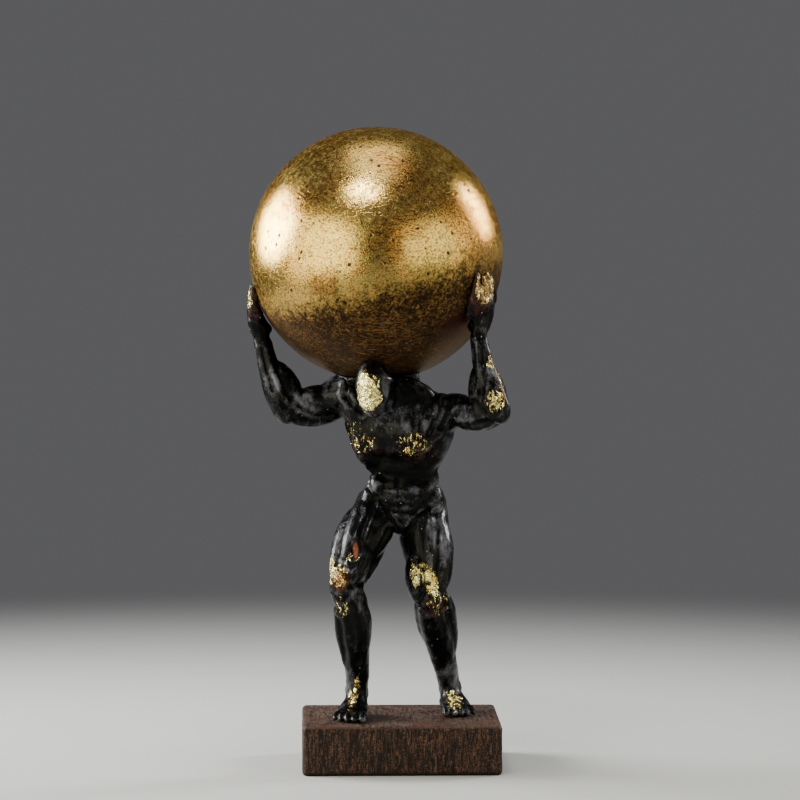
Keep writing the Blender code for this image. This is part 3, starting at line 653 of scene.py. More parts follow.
# %% Creases seen from the front
FRONT = {
    "trunk": (-27, 24, {
        "fold under the ribs": (3.0, 1.7, (
            (-15, 124), (-10, 121.4), (-4, 120), (2, 119), (9, 118.8), (16, 120), (21, 122))),
        "second belly fold": (1.0, 0.45, (
            (-10.4, 115.4), (-4.4, 114.9), (2.6, 115.3), (9.6, 116.3))),
        "third belly fold": (1.2, 0.45, (
            (-9, 107.4), (-3, 106.3), (3.6, 106.3), (10.6, 107.3), (15.6, 108.8))),
        "middle of the belly": (1.4, 0.3, ((-1.4, 118.9), (-0.9, 112.9), (0.1, 105.9))),
        "right groin": (0.9, 0.45, (
            (-16.3, 114.2), (-11.9, 110.7), (-8.9, 106.2), (-6.4, 101.7), (-3.4, 97.7), (-1.4, 94))),
        "left groin": (0.9, 0.45, (
            (20.2, 108), (15.2, 104.5), (10.2, 101.5), (6.2, 98), (3.7, 94))),
        "arc over the pouch": (1.2, 0.5, (
            (-7.4, 104.7), (-2.9, 102.9), (1.6, 102.4), (6.1, 102.9), (11.6, 106.1))),
        "breastbone": (2.0, 0.35, ((-6.2, 152), (-7.2, 144.6), (-7.7, 135.7), (-7.7, 129.7))),
        "right chest edge": (2.4, 0.8, (
            (-28.4, 144.3), (-26.4, 138.8), (-21.9, 133.8), (-16, 130.8), (-10, 129.8))),
        "left chest edge": (2.4, 0.8, (
            (-5.2, 129.2), (1.8, 128.2), (8.7, 128.6), (14.7, 132.1), (18.2, 137.6))),
        "left armpit": (1.0, 0.7, ((20.7, 158.3), (18.2, 152.3), (15.2, 147.4), (12.8, 142.9))),
        "left armpit, second": (0.9, 0.5, ((25.2, 159.3), (22.2, 152.3), (19.2, 145.4))),
        "left armpit, third": (0.9, 0.5, ((30.1, 159.3), (26.7, 152.3), (23.7, 145.4))),
        "right collar": (1.4, 0.6, ((-28.3, 160.3), (-24.3, 156.8), (-19.3, 152.8))),
        "left collar": (1.7, 0.5, ((-2.6, 156.4), (1.8, 158.4), (9.3, 160.4), (16.2, 161))),
        "left neck hollow": (3.0, 0.7, ((-2.1, 162.9), (3.3, 163.4), (9.3, 164.4))),
        "right shoulder gap": (1.4, 0.8, ((-26.7, 166), (-27.2, 161.4), (-25.7, 157.4))),
    }),
    "legs": (-60, 30, {
        "right thigh, middle": (1.4, 0.7, (
            (-13.5, 109.4), (-17.5, 98.4), (-21.5, 86.9), (-25, 77.9))),
        "right thigh, inner": (1.6, 0.7, ((-6.4, 93.8), (-11.4, 83.8), (-17.4, 72.8))),
        "left thigh, middle": (1.4, 0.6, ((11.6, 100.8), (11.6, 91.3), (11.6, 81.3), (11.1, 74.7))),
        "left thigh, outer": (1.4, 0.6, ((17.6, 102.8), (19.1, 91.3), (18.6, 78.7), (16.6, 68.7))),
        "over the right knee": (1.3, 0.7, ((-35.5, 75), (-31.5, 77.5), (-27.6, 76), (-25.6, 72))),
        "under the right knee": (1.3, 0.7, (
            (-34.5, 64.5), (-31, 61.5), (-27.6, 62.5), (-25.6, 66.5))),
        "inside the right knee": (1.5, 1.0, ((-26, 67.6), (-22.1, 68.6), (-18.1, 69))),
        "over the left knee": (1.3, 0.6, ((6.4, 65.6), (10.3, 68.1), (15.3, 67.5))),
        "under the left knee": (1.3, 0.7, ((9.3, 56.6), (13.3, 54), (18.3, 54), (21.8, 58))),
        "right shin bone": (1.3, -0.4, ((-30, 58.1), (-28, 45.1), (-25.6, 32.6), (-24.1, 24.1))),
        "left shin bone": (1.3, -0.4, ((17.9, 49.3), (20.4, 39.3), (22.4, 29.2), (23.9, 20.2))),
        "right calf": (1.5, 0.6, ((-24.5, 59.4), (-20.5, 49.4), (-19.5, 39.4), (-21, 29.4))),
        "left calf": (1.5, 0.6, ((23.5, 52.8), (25.5, 44.8), (25.5, 34.7))),
    }),
    "right arm": (-30, 30, {
        "under the right biceps": (1.3, 0.9, (
            (-54.3, 159.3), (-49.3, 154.2), (-42.2, 151.2), (-35.2, 152.2))),
        "right triceps": (1.2, 0.6, ((-50.3, 150.7), (-43.7, 147.7), (-36.2, 149.7))),
        "right forearm": (1.3, 0.8, (
            (-69.2, 183.4), (-66.3, 172.3), (-62.3, 162.3), (-58.3, 155.8))),
        "right wrist": (1.0, 0.4, ((-77, 200), (-69, 198))),
    }),
    "left arm": (-60, -8, {
        "left forearm, outer": (1.3, 0.8, (
            (38.1, 192.3), (39.6, 182.4), (40.1, 172.6), (39.1, 164.3))),
        "left forearm, inner": (1.2, 0.6, ((35.2, 187.3), (34.7, 177.5), (35.7, 167.7))),
        "over the left biceps": (1.3, 0.8, (
            (22.4, 156.2), (28.8, 159.2), (35.8, 159.2), (39.7, 154.7))),
        "left triceps": (1.2, 0.6, ((26.5, 147.7), (33.9, 147.7), (41.8, 149.6))),
    }),
}

# %% [markdown]
# The photograph doesn't show the back. Its creases are placed as an anatomy book has them: spine,
# shoulder blades, seat, backs of the knees, calves and heel cords.

# %% Creases seen from the back
BACK = {
    "back": (-10, 40, {
        "spine": (2.2, 1.4, ((5, 164), (5, 152), (5, 140), (4.6, 130), (4, 120), (3, 110))),
        "seat cleft": (1.6, 1.8, ((2.6, 109), (1.6, 100), (0.6, 91))),
        "right seat fold": (1.5, 1.1, ((-18, 92), (-12, 88), (-5, 88), (-1, 90))),
        "left seat fold": (1.5, 1.1, ((3, 90), (7, 87), (13, 86.5), (19, 90))),
        "right shoulder blade": (1.7, 0.9, ((-22, 156), (-17, 147), (-9, 142), (-2, 147))),
        "left shoulder blade": (1.7, 0.9, ((30, 158), (26, 148), (18, 142), (11, 147))),
        "right side muscle": (1.7, 0.8, ((-19, 138), (-12, 128), (-6, 118), (-1, 112))),
        "left side muscle": (1.7, 0.8, ((24, 138), (18, 128), (12, 118), (7, 112))),
    }),
    "backs of the legs": (-40, 40, {
        "right thigh, back": (1.5, 0.7, ((-13, 86), (-19, 76), (-25, 67))),
        "left thigh, back": (1.5, 0.7, ((11.5, 84), (13, 74), (15, 62))),
        "right calf split": (1.5, 0.8, ((-26.5, 58), (-25, 48), (-23.5, 38))),
        "left calf split": (1.5, 0.8, ((18.5, 52), (21, 42), (23, 34))),
        "right heel cord": (1.4, 0.6, ((-26, 32), (-25, 22), (-24.6, 14))),
        "left heel cord": (1.4, 0.6, ((21, 30), (22.5, 20), (22.8, 13))),
    }),
}


# %% [markdown]
# ## Grooves and patches
#
# A tool leaves a bell-shaped groove with a slight lip beside it, where the clay was pushed up. A
# patch is an ellipse with a soft border, given by its middle, half sizes, turn and range of depth.
# Patches say where the skin is rubbed smooth, and later where leaf, stain and wiping lie.

# %% Grooves and patches
LIP_SHARE, LIP_PLACE, LIP_WIDTH = 0.3, 2.1, 0.8
PATCH_WHOLE, PATCH_GONE = 0.55, 1.35


def away_from(points, line):
    """Distance in the front view from each point to a broken line, in body units."""
    flat = points[:, [0, 2]]
    places = np.asarray(line, float)
    nearest = np.full(len(points), np.inf)
    for a, b in zip(places, places[1:]):
        share = np.clip((flat - a) @ (b - a) / ((b - a) @ (b - a)), 0, 1)
        nearest = np.minimum(nearest, np.linalg.norm(flat - a - share[:, None] * (b - a), axis=1))
    return nearest


def within(value, low, high):
    """1 between two numbers, easing to 0 over three units at each of them."""
    return ease(low - 1.5, low + 1.5, value) * (1 - ease(high - 1.5, high + 1.5, value))


def tool(points, normals, groups, towards):
    """Depth of all creases at each point: a bell exp(-(r/w)^2) with a slight lip beside it."""
    total = np.zeros(len(points))
    facing = ease(0.05, 0.5, normals[:, 1] * towards)
    for near, far, lines in groups.values():
        reach = facing * within(points[:, 1], near, far)
        for half_width, depth, line in lines.values():
            r = away_from(points, line) / half_width
            lip = LIP_SHARE * np.exp(-((r - LIP_PLACE) / LIP_WIDTH) ** 2)
            total += reach * depth * (lip - np.exp(-r * r))
    return total


def patches(points, normals, given, towards):
    """The strongest patch at each point, whole inside its ellipse and easing to nothing beyond."""
    facing = ease(-0.25, 0.25, normals[:, 1] * towards)
    total = np.zeros(len(points))
    for x, z, half_x, half_z, turn, strength, near, far in given.values():
        dx, dz = points[:, 0] - x, points[:, 2] - z
        c, s = math.cos(math.radians(turn)), math.sin(math.radians(turn))
        r = np.hypot((dx * c + dz * s) / half_x, (dz * c - dx * s) / half_z)
        reach = facing * within(points[:, 1], near, far)
        total = np.maximum(total, reach * strength * (1 - ease(PATCH_WHOLE, PATCH_GONE, r)))
    return total


def in_units(points):
    """Metres turned into body units above the soles."""
    return (points - [0, 0, SOLE_HEIGHT]) / UNIT


# %% [markdown]
# ## Rubbing
#
# On the neck, the collar and the wrists the overlapping pads leave bumps that a body lacks. A
# sculptor rubs them away with a wet thumb. Here the averaged skin takes their place, patch by
# patch, before any crease is cut. The toes are rubbed a little too, so that they run together.

# %% Rub the soft places
RUBBING_STEPS = 170
# Each patch: centre across and up, half sizes, turn in degrees, strength, and its range of depth
RUBBED = {
    "chest and neck": (-5, 148, 26, 18, 0, 1.0, -23, 8),
    "under the chest": (0, 126, 20, 8, 0, 0.6, -23, 6),
    "right collar": (-24, 155, 9, 9, 0, 1.0, -23, 12),
    "belly": (1, 110, 16, 11, 0, 0.6, -23, 6),
    "left armpit": (27, 152, 10, 10, 0, 1.0, -30, 10),
    "right shoulder": (-35, 162, 10, 9, 0, 0.9, -20, 20),
    "right wrist": (-69, 198, 7, 11, 0, 1.0, -30, 30),
    "left wrist": (37, 199, 9, 9, 0, 1.0, -60, -6),
    "left upper arm": (36, 153, 11, 7, 0, 0.8, -60, -6),
    "right upper arm": (-46, 154, 10, 7, 0, 0.5, -20, 30),
    "right ankle": (-22, 13, 9, 8, 0, 0.8, -30, 20),
    "left ankle": (25, 13, 9, 8, 0, 0.8, -20, 40),
    "nape behind": (2, 160, 26, 12, 0, 1.0, 3, 50),
    "right toes": (-28, 2.5, 14, 4, 0, 0.36, -70, -10),
    "left toes": (30, 2, 13, 4, 0, 0.36, -60, 0),
    "back of the right knee": (-23, 65, 6, 8, 0, 0.8, -30, 20),
    "back of the left knee": (16, 56, 12, 7, 0, 0.6, -6, 30),
}
skin = Skin(body_mesh)
place, normals = in_units(skin.points), skin.normals()
rubbed = np.maximum(patches(place, normals, RUBBED, -1), patches(place, normals, RUBBED, 1))
skin.points += (skin.averaged(skin.points, RUBBING_STEPS) - skin.points) * rubbed[:, None]
print("rubbed", int((rubbed > 0.1).sum()), "of", skin.count, "points")

# %% [markdown]
# ## Tooling
#
# The relief that is left is deepened: a point that stands above the average of its surroundings is
# raised further, and one that lies in a crease is sunk. Then the creases are cut. Last come faint
# lumps of three sizes, because a surface worked by hand is never quite even.

# %% Tool the skin
CREASE_STEPS, CREASE_GAIN = 44, 0.55
MOST_SUNK, MOST_RAISED = -1.4, 1.0
# Each set of hand marks: height, size and seed
HAND_MARKS = ((0.30, 7.0, 1), (0.16, 3.4, 2), (0.06, 1.7, 3))
stand = skin.height(CREASE_STEPS)
stand -= skin.averaged(stand, 3 * CREASE_STEPS)
skin.raise_by(np.clip(CREASE_GAIN * stand, MOST_SUNK, MOST_RAISED))
skin.raise_by(tool(in_units(skin.points), skin.normals(), FRONT, -1))
skin.raise_by(tool(in_units(skin.points), skin.normals(), BACK, 1))
place = in_units(skin.points)
skin.raise_by(sum(high * lumps(place, size, seed) for high, size, seed in HAND_MARKS))
print("creases tooled over", skin.count, "points")

# %% [markdown]
# ## Bed and soles
#
# The ball needs its bed, and the soles are flat. Points inside the ball are pushed straight out to
# a hair above its surface, and points under the soles are lifted to them.

# %% Bed of the ball and flat soles
from_ball = skin.points - BALL_CENTRE
far = np.linalg.norm(from_ball, axis=1)
inside = far < BALL_RADIUS + GLUE_GAP
skin.points[inside] = BALL_CENTRE + from_ball[inside] / far[inside, None] * (BALL_RADIUS + GLUE_GAP)
skin.points[:, 2] = np.maximum(skin.points[:, 2], SOLE_HEIGHT)
skin.write()
body_mesh.shade_smooth()
print(int(inside.sum()), "points moved out of the ball")

# %% [markdown]
# ## What the painter saw
#
# The painter worked by hand: grey was wiped over whatever stands proud, leaf was laid in ragged
# patches on the face, chest, elbow, hand, knees and insteps, and red-brown size shows round it. The
# skin carries these as numbers at its points, and the paint below reads them: **relief** from the
# shape itself, and **leaf**, **size** and the **wiping** number from patches given in the front or
# back view. The wiping number also carries painted highlights, and painted shade where recesses
# lie in shadow.
# A strength below one gives leaf that is torn to flecks.

# %% Patches of leaf
LEAF = {
    "face, low": (-16.3, 161.2, 5.8, 6.6, 0, 1.3, -50, -24),
    "face, high": (-18.2, 167.4, 3.6, 7.0, 0, 1.3, -50, -24),
    "face, torn corner": (-13.6, 168.4, 2.8, 4.4, 0, 0.6, -50, -24),
    "left hand": (40.6, 215.2, 4.5, 8.0, 0, 1.3, -60, -22),
    "right hand": (-76.2, 209.5, 1.9, 5.6, 8, 0.9, -25, 12),
    "left elbow": (45.8, 160, 5.4, 6.2, 0, 0.55, -60, -30),
    "left forearm": (44.6, 178.6, 3.6, 3.8, 0, 0.52, -60, -20),
    "left forearm edge": (48.6, 168.5, 1.2, 9.5, 12, 0.44, -60, -20),
    "right chest": (-20.6, 140.4, 9.4, 7.6, -35, 0.36, -40, 2),
    "left chest": (5.6, 136.8, 9.8, 6.8, 0, 0.38, -40, -8),
    "right knee": (-31.0, 72.0, 4.8, 5.6, 0, 0.66, -60, -18),
    "right knee edge": (-35, 75.0, 1.6, 7, -8, 0.84, -60, 0),
    "right thigh": (-24.6, 81.4, 4, 2.2, 0, 0.40, -60, -14),
    "right shin": (-30.0, 57.0, 3.4, 6.4, 0, 0.34, -60, -18),
    "left knee, inner lobe": (6.8, 71.8, 2.4, 6.2, 6, 0.98, -60, -4),
    "left knee, outer lobe": (14.8, 68.8, 3.5, 8.0, 16, 0.96, -60, -4),
    "left knee, top": (11.0, 75.4, 5.8, 3.0, 0, 0.66, -60, -4),
    "left knee, low": (17.6, 58.4, 5.8, 7.0, 20, 0.37, -60, -4),
    "right toes": (-27, 2.4, 11, 3.0, 0, 0.14, -60, 0),
    "left toes": (28, 1.6, 10, 2.4, 0, 0.14, -40, 6),
    "right instep": (-23.4, 13.0, 2.4, 8.6, -14, 0.64, -40, 4),
    "left instep": (26.8, 6.8, 5.2, 4.0, -30, 0.50, -30, 12),
    "right shoulder": (-33.5, 163.4, 5.4, 5.6, 0, 0.16, -10, 30),
    "nape": (5.3, 167.4, 8, 3.2, 0, 0.14, -20, 20),
}
LEAF_BEHIND = {
    "left shoulder blade": (20, 152, 8, 6.4, 20, 0.60, -4, 40),
    "right seat": (-11, 99, 6.4, 6, 0, 0.55, 4, 40),
    "left calf": (22.6, 44, 3.4, 8, 8, 0.62, 0, 40),
    "right heel": (-23, 8, 3.6, 5, 0, 0.66, -6, 20),
}

# %% [markdown]
# Size is the glue under the leaf, and the painter let it run past the leaf's edge. Wiping is the
# grey brushed over the forms. The places of painted shade are recesses that lie in shadow: their
# strength is taken off the wiping, so that these places are painted black.

# %% Patches of size, wiping, painted highlight and painted shade
SIZE = {
    "left hand": (38, 214, 9, 14, 0, 1.0, -60, -22),
    "right hand": (-74, 207, 5, 10, 0, 0.8, -25, 12),
    "left chest": (8, 134.5, 12, 8, 0, 0.64, -40, -8),
    "right chest": (-18, 136.5, 11, 8, -20, 0.58, -40, 2),
    "left forearm edge": (48, 170, 3, 10, 12, 0.8, -60, -20),
    "right knee": (-30.4, 70.6, 5.0, 6.6, 0, 1.02, -60, -14),
    "right thigh": (-22.8, 85.0, 1.6, 4.8, 0, 1.5, -60, -14),
    "left knee, low": (16.6, 57, 7, 8, 20, 0.72, -60, -4),
    "right thigh edge": (-31.5, 84, 2.6, 7, -24, 0.6, -60, 0),
}
# Grey wiping brushed over the forms; the patches on the right forearm bulge and the right biceps are
# painted highlights.
WIPED_AND_PAINTED_HIGHLIGHT = {
    "right hip": (-14.2, 118.6, 3.4, 8, -14, 1.0, -20, 20),
    "left hip": (18.2, 117, 3.2, 7, 12, 1.0, -20, 20),
    "chest": (-3, 150, 22, 9, 0, 0.78, -40, 6),
    "chest, middle": (-5, 149, 9, 7, 0, 1.0, -40, 0),
    "chest, left": (7, 149, 8, 6, -20, 0.7, -40, 4),
    "belly": (1, 112, 15, 6, 0, 0.35, -20, 4),
    "groin": (0.5, 101, 8, 6, 0, 0.5, -20, 4),
    "left thigh": (20, 93, 5.5, 16, 6, 1.3, -30, 10),
    "left thigh, front": (12, 88, 6, 14, 0, 0.4, -30, 10),
    "right thigh": (-29.5, 90, 3, 12, -24, 1.0, -30, 8),
    "right ankle": (-26.5, 18.5, 4, 7, 0, 1.5, -20, 10),
    "left ankle": (25.5, 18, 8, 9, 0, 1.3, -10, 30),
    "right knee, inner": (-22, 64, 5, 6, 0, 0.7, -40, 0),
    "left chest": (13.5, 149, 4, 8, -24, 0.9, -40, 0),
    "right shoulder": (-33, 163, 7, 7, 0, 1.3, -10, 30),
    "right collar": (-24, 157, 9, 4, -30, 0.7, -20, 20),
    "left forearm": (40, 180, 6, 20, 0, 0.6, -60, -20),
    "left biceps": (31, 153, 7, 6, 20, 0.7, -60, -8),
    "right forearm": (-66, 171, 4, 10, 16, 0.6, -20, 20),
    "right forearm bulge": (-62.5, 166.5, 2.6, 6, 6, 1.6, -20, 20),
    "right biceps": (-47.5, 156.5, 8, 5.5, -20, 1.5, -20, 20),
    "toes": (0, 1.0, 60, 1.8, 0, 0.4, -60, 10),
    "head, left side": (-7.6, 168, 2.6, 8, 0, 1.2, -50, -14),
}
# Painted shade: the recesses that lie in shadow, under the chest and the groin, by the neck and
# shoulder, inside the thighs, on the shins and inside the right forearm, are painted black.
PAINTED_SHADE = {
    "under the chest": (0, 124.6, 22, 7.0, 0, 2.8, -40, 14),
    "hollow right of the neck": (4, 160.5, 10, 3.4, 0, 0.7, -24, 10),
    "left shoulder, top": (16, 160, 12, 3, -16, 0.5, -24, 10),
    "under the groin": (-1, 91.5, 7, 4, 0, 1.0, -30, 20),
    "inside the right thigh": (-13, 84, 5, 13, -30, 0.5, -40, 20),
    "inside the left thigh": (7.5, 84, 3.5, 13, 8, 0.5, -40, 20),
    "right shin": (-25, 42, 6, 15, 0, 0.5, -40, 20),
    "left shin": (21, 38, 6, 13, 10, 0.5, -40, 20),
    "right forearm, inner": (-63, 180, 4, 12, 14, 0.5, -20, 20),
}

# %% [markdown]
# The relief is the sum of two heights above the averaged skin, one over a short way for edges and
# one over a long way for whole muscles. Each is divided by the height at which it counts in full.

# %% Write the numbers on the points
FINE_STEPS, FINE_HEIGHT = 8, 0.12
BROAD_STEPS, BROAD_HEIGHT = 40, 1.2


def write_numbers(mesh, name, values):
    attribute = mesh.attributes.new(name, "FLOAT", "POINT")
    attribute.data.foreach_set("value", values.astype(np.float32))


place, normals = in_units(skin.points), skin.normals()
fine = skin.averaged(skin.height(FINE_STEPS), 2) / FINE_HEIGHT
relief = fine + skin.averaged(skin.height(BROAD_STEPS), 4) / BROAD_HEIGHT
leaf = np.maximum(patches(place, normals, LEAF, -1), patches(place, normals, LEAF_BEHIND, 1))
# The wiping number is wiping plus painted highlights, less the painted shade of shadowed recesses.
wiped_and_painted_light = patches(place, normals, WIPED_AND_PAINTED_HIGHLIGHT, -1) - patches(place, normals, PAINTED_SHADE, -1)
write_numbers(body_mesh, "relief", relief)
write_numbers(body_mesh, "leaf", leaf)
write_numbers(body_mesh, "size", patches(place, normals, SIZE, -1))
write_numbers(body_mesh, "wiped_and_painted_light", wiped_and_painted_light)
print("relief from", round(relief.min(), 2), "to", round(relief.max(), 2))
print("leaf on", int((leaf > 0.5).sum()), "points")
figure = show("figure_skin", body_mesh, "figure")

# %% [markdown]
# ## The ball
#
# The ball is a globe of latitude rings with closed poles. A leafed ball is never quite true: a faint
# waviness makes the reflections swim a little, as they do on the real one.

# %% Make the ball
BALL_RINGS, BALL_SEGMENTS = 150, 300
# Each wave: height and size in millimetres, and seed
BALL_WAVES = ((0.10, 14, 5), (0.03, 5, 6))


def globe(radius, centre, rings, segments):
    """Points radius·(cos lift·cos turn, cos lift·sin turn, sin lift), with a point at each pole."""
    lift = np.linspace(-math.pi / 2, math.pi / 2, rings + 1)[1:-1, None]
    turn = np.linspace(0, 2 * math.pi, segments, endpoint=False)[None, :]
    flat = np.cos(lift)
    bands = np.stack([flat * np.cos(turn), flat * np.sin(turn), np.sin(lift) + 0 * turn], axis=-1)
    points = np.vstack([bands.reshape(-1, 3), [0, 0, -1], [0, 0, 1]])
    last, turns = (rings - 2) * segments, np.arange(segments)
    after = (turns + 1) % segments
    south = np.column_stack([after, turns, np.full(segments, last + segments)])
    north = np.column_stack([last + turns, last + after, np.full(segments, last + segments + 1)])
    faces = skin_faces(rings - 1, segments).tolist() + south.tolist() + north.tolist()
    place = points * radius / MM
    wave = sum(high * lumps(place, size, seed) for high, size, seed in BALL_WAVES)
    return points * (radius + wave[:, None] * MM) + centre, faces


ball_mesh = mesh_of("gilded_ball", *globe(BALL_RADIUS, BALL_CENTRE, BALL_RINGS, BALL_SEGMENTS))
ball = show("gilded_ball", ball_mesh, "ball")

# %% [markdown]
# ## The plinth
#
# The plinth looks cast from a sawn wooden block. Rings of points follow a rectangle with rounded
# corners: they start at the middle of the underside, climb the sides and close in on the middle of
# the top. Upright grooves run round the sides. They are deeper or shallower along their length, and
# die away at the top and bottom edge. The top swells and sinks by a tenth of a millimetre.

# %% The plinth's outline
CORNER, ROUNDING = 0.0030, 0.0022
PLINTH_STEP = 0.0005


def rounded_outline(half_x, half_y, corner, step):
    """Points round a rectangle with quarter-circle corners, evenly spaced, with their outward ways."""
    count = int(round((half_x + half_y) * 4 / step / 4)) * 4
    dense = []
    for cx, cy, start in ((1, -1, -90), (1, 1, 0), (-1, 1, 90), (-1, -1, 180)):
        turn = np.radians(np.linspace(start, start + 90, 12))
        x = cx * (half_x - corner) + corner * np.cos(turn)
        y = cy * (half_y - corner) + corner * np.sin(turn)
        dense.append(np.column_stack([x, y]))
    dense = np.vstack(dense + [dense[0][:1]])
    along = np.concatenate([[0], np.cumsum(np.linalg.norm(np.diff(dense, axis=0), axis=1))])
    even = np.linspace(0, along[-1], count, endpoint=False)
    points = np.column_stack([np.interp(even, along, dense[:, axis]) for axis in (0, 1)])
    ahead = np.roll(points, -1, axis=0) - np.roll(points, 1, axis=0)
    outward = np.column_stack([ahead[:, 1], -ahead[:, 0]])
    return points, outward / np.linalg.norm(outward, axis=1)[:, None], even


# %% [markdown]
# The saw's marks are the sum of three smooth random fields, each drawn out upwards. Only what falls
# below a level is pressed into the side, so that flat wood is left between the grooves.

# %% Make the plinth
GRAIN_DEPTH, GRAIN_LEVEL = 0.00022, 1.2
# Each set of saw marks: strength, width and height in millimetres, and seed
SAW_MARKS = ((1.0, 1.3, 14, 11), (0.7, 3.1, 30, 12), (0.5, 0.9, 7, 13))
# Each swelling of the top: height, width and depth in millimetres, and seed
TOP_SWELLS = ((0.10, 9, 3, 14), (0.06, 3, 1.5, 15))
TOP_SUNK = 0.16


def stretched(place, fields):
    """The sum of smooth random fields, each with its strength and its two sizes."""
    return sum(share * lumps(place / [one, two, 1], 1, seed) for share, one, two, seed in fields)


def plinth_surface(low, high):
    """Ring k is the outline scaled by share k at height k, its side pressed in by the grain."""
    half = (high - low)[:2] / 2
    height, edge = high[2] - low[2], ROUNDING
    outline, outward, even = rounded_outline(half[0], half[1], CORNER, PLINTH_STEP)
    turn = np.radians(np.linspace(0, 90, 7))
    inset = np.concatenate([np.linspace(half[1], edge, 12)[:-1], edge * (1 - np.sin(turn)),
                            np.zeros(18), edge * (1 - np.cos(turn)),
                            np.linspace(edge, half[1], 22)[1:]])
    climb = np.concatenate([np.zeros(11), edge * (1 - np.cos(turn)),
                            np.linspace(edge, height - edge, 20)[1:-1],
                            height - edge + edge * np.sin(turn), np.full(21, height)])
    share = 1 - inset / half[1]
    share[share < 1e-9] = 0.004
    ring = outline[None, :, :] * np.where(inset[:, None, None] > edge, share[:, None, None], 1)
    ring = ring - outward[None, :, :] * np.where(inset <= edge, inset, 0)[:, None, None]
    shape = ring.shape[:2]
    around = np.broadcast_to(even / MM, shape).ravel()
    above = np.broadcast_to(climb[:, None] / MM, shape).ravel()
    place = np.column_stack([around, above, np.zeros(around.size)])
    grain = (stretched(place, SAW_MARKS).reshape(shape) - GRAIN_LEVEL) * GRAIN_DEPTH
    on_side = ease(0, 2 * edge, climb)[:, None] * ease(0, 2 * edge, height - climb)[:, None]
    ring = ring + outward[None, :, :] * (np.minimum(grain, 0) * on_side)[..., None]
    flat = np.column_stack([ring.reshape(-1, 2) / MM, np.zeros(grain.size)])
    swell = (stretched(flat, TOP_SWELLS) - TOP_SUNK) * MM
    top = (climb >= height - 1e-9) & (inset > edge)
    rise = climb[:, None] + np.where(top[:, None], swell.reshape(shape), 0)
    points = np.concatenate([ring, rise[..., None]], axis=-1).reshape(-1, 3)
    points[:, :2] += (low + high)[:2] / 2
    points[:, 2] += low[2]
    count, sides = shape
    last = (count - 1) * sides
    caps = [np.arange(sides)[::-1].tolist(), (last + np.arange(sides)).tolist()]
    return points, skin_faces(count, sides).tolist() + caps


plinth_mesh = mesh_of("wooden_plinth", *plinth_surface(plinth_low, plinth_high))
plinth = show("wooden_plinth", plinth_mesh, "plinth")

# %% [markdown]
# ## Paint by arithmetic
#
# A finish is worked out with nodes. To keep the sums readable, an output of a node is wrapped in a
# small class whose signs add Math nodes. Colours go through Mix nodes instead, because a Math node
# would turn them grey.

# %% Wires and paints
class Wire:
    """One output of a node. A sign between wires, or a wire and a number, adds a Math node."""

    def __init__(self, paint, socket):
        self.paint, self.socket = paint, socket

    def math(self, operation, first, second):
        return self.paint.node("ShaderNodeMath", {"operation": operation}, {0: first, 1: second})

    def __add__(self, other):
        return self.math("ADD", self, other)

    def __sub__(self, other):
        return self.math("SUBTRACT", self, other)

    def __rsub__(self, other):
        return self.math("SUBTRACT", other, self)

    def __mul__(self, other):
        return self.math("MULTIPLY", self, other)

    __radd__, __rmul__ = __add__, __mul__

    def above(self, low, high):
        """0 below low and 1 above high, with a smooth step between."""
        sockets = {"Value": self, "From Min": low, "From Max": high}
        settings = {"interpolation_type": "SMOOTHSTEP"}
        return self.paint.node("ShaderNodeMapRange", settings, sockets)


class Paint:
    """A material on the principled shader, and one method that adds any other node to it."""

    def __init__(self, name, **steady):
        self.material = bpy.data.materials.new(name)
        self.material.use_nodes = True
        self.tree = self.material.node_tree
        self.shader = self.tree.nodes["Principled BSDF"]
        for socket, value in steady.items():
            self.shader.inputs[socket.replace("_", " ")].default_value = value

    def node(self, kind, settings, sockets, output=0):
        made = self.tree.nodes.new(kind)
        for setting, value in settings.items():
            setattr(made, setting, value)
        for socket, value in sockets.items():
            self.feed(made.inputs[socket], value)
        return Wire(self, made.outputs[output])

    def feed(self, socket, value):
        if isinstance(value, Wire):
            self.tree.links.new(value.socket, socket)
        else:
            socket.default_value = value

    def place(self, centre=(0, 0, 0), turn=(0, 0, 0), stretch=(1, 1, 1)):
        """Object coordinates in metres, measured from a centre, turned and stretched."""
        at = self.node("ShaderNodeTexCoord", {}, {}, "Object")
        moved = self.node("ShaderNodeMapping", {}, {"Vector": at, "Location": [-c for c in centre]})
        return self.node("ShaderNodeMapping", {}, {"Vector": moved, "Rotation": turn, "Scale": stretch})

    def along(self, at, axis, length):
        """How far a place lies along an axis, as a share of a length."""
        return self.node("ShaderNodeSeparateXYZ", {}, {"Vector": at}, axis) * (1 / length)

    def noise(self, at, size, detail=3, rough=0.6, sway=0):
        """Cloudy noise whose largest shapes have a size in metres, with its lines made to sway."""
        sockets = {"Vector": at, "Scale": 1 / size, "Detail": detail, "Roughness": rough,
                   "Distortion": sway}
        return self.node("ShaderNodeTexNoise", {}, sockets, "Fac")

    def specks(self, at, spacing, radius, share):
        """Round specks on a jittered lattice: only the given share of its cells has one."""
        cells = {"Vector": at, "Scale": 1 / spacing}
        near = self.node("ShaderNodeTexVoronoi", {}, cells, "Distance")
        drawn = self.node("ShaderNodeTexVoronoi", {}, cells, "Color")
        chance = self.node("ShaderNodeSeparateColor", {}, {"Color": drawn}, "Red")
        outside = near.above(0.6 * radius / spacing, 1.1 * radius / spacing)
        return (1 - outside) * (1 - chance.above(share - 0.01, share))

    def number(self, name):
        return self.node("ShaderNodeAttribute", {"attribute_name": name}, {}, "Fac")

    def mix(self, first, second, mask):
        def colour(value):
            return value if isinstance(value, Wire) else (*value, 1)
        sockets = {0: mask, 6: colour(first), 7: colour(second)}
        return self.node("ShaderNodeMix", {"data_type": "RGBA"}, sockets, 2)

    def bump(self, height, distance, strength=1.0):
        sockets = {"Height": height, "Distance": distance, "Strength": strength}
        return self.node("ShaderNodeBump", {}, sockets)

    def finish(self, **varying):
        for socket, value in varying.items():
            self.feed(self.shader.inputs[socket.replace("_", " ")], value)
        return self.material
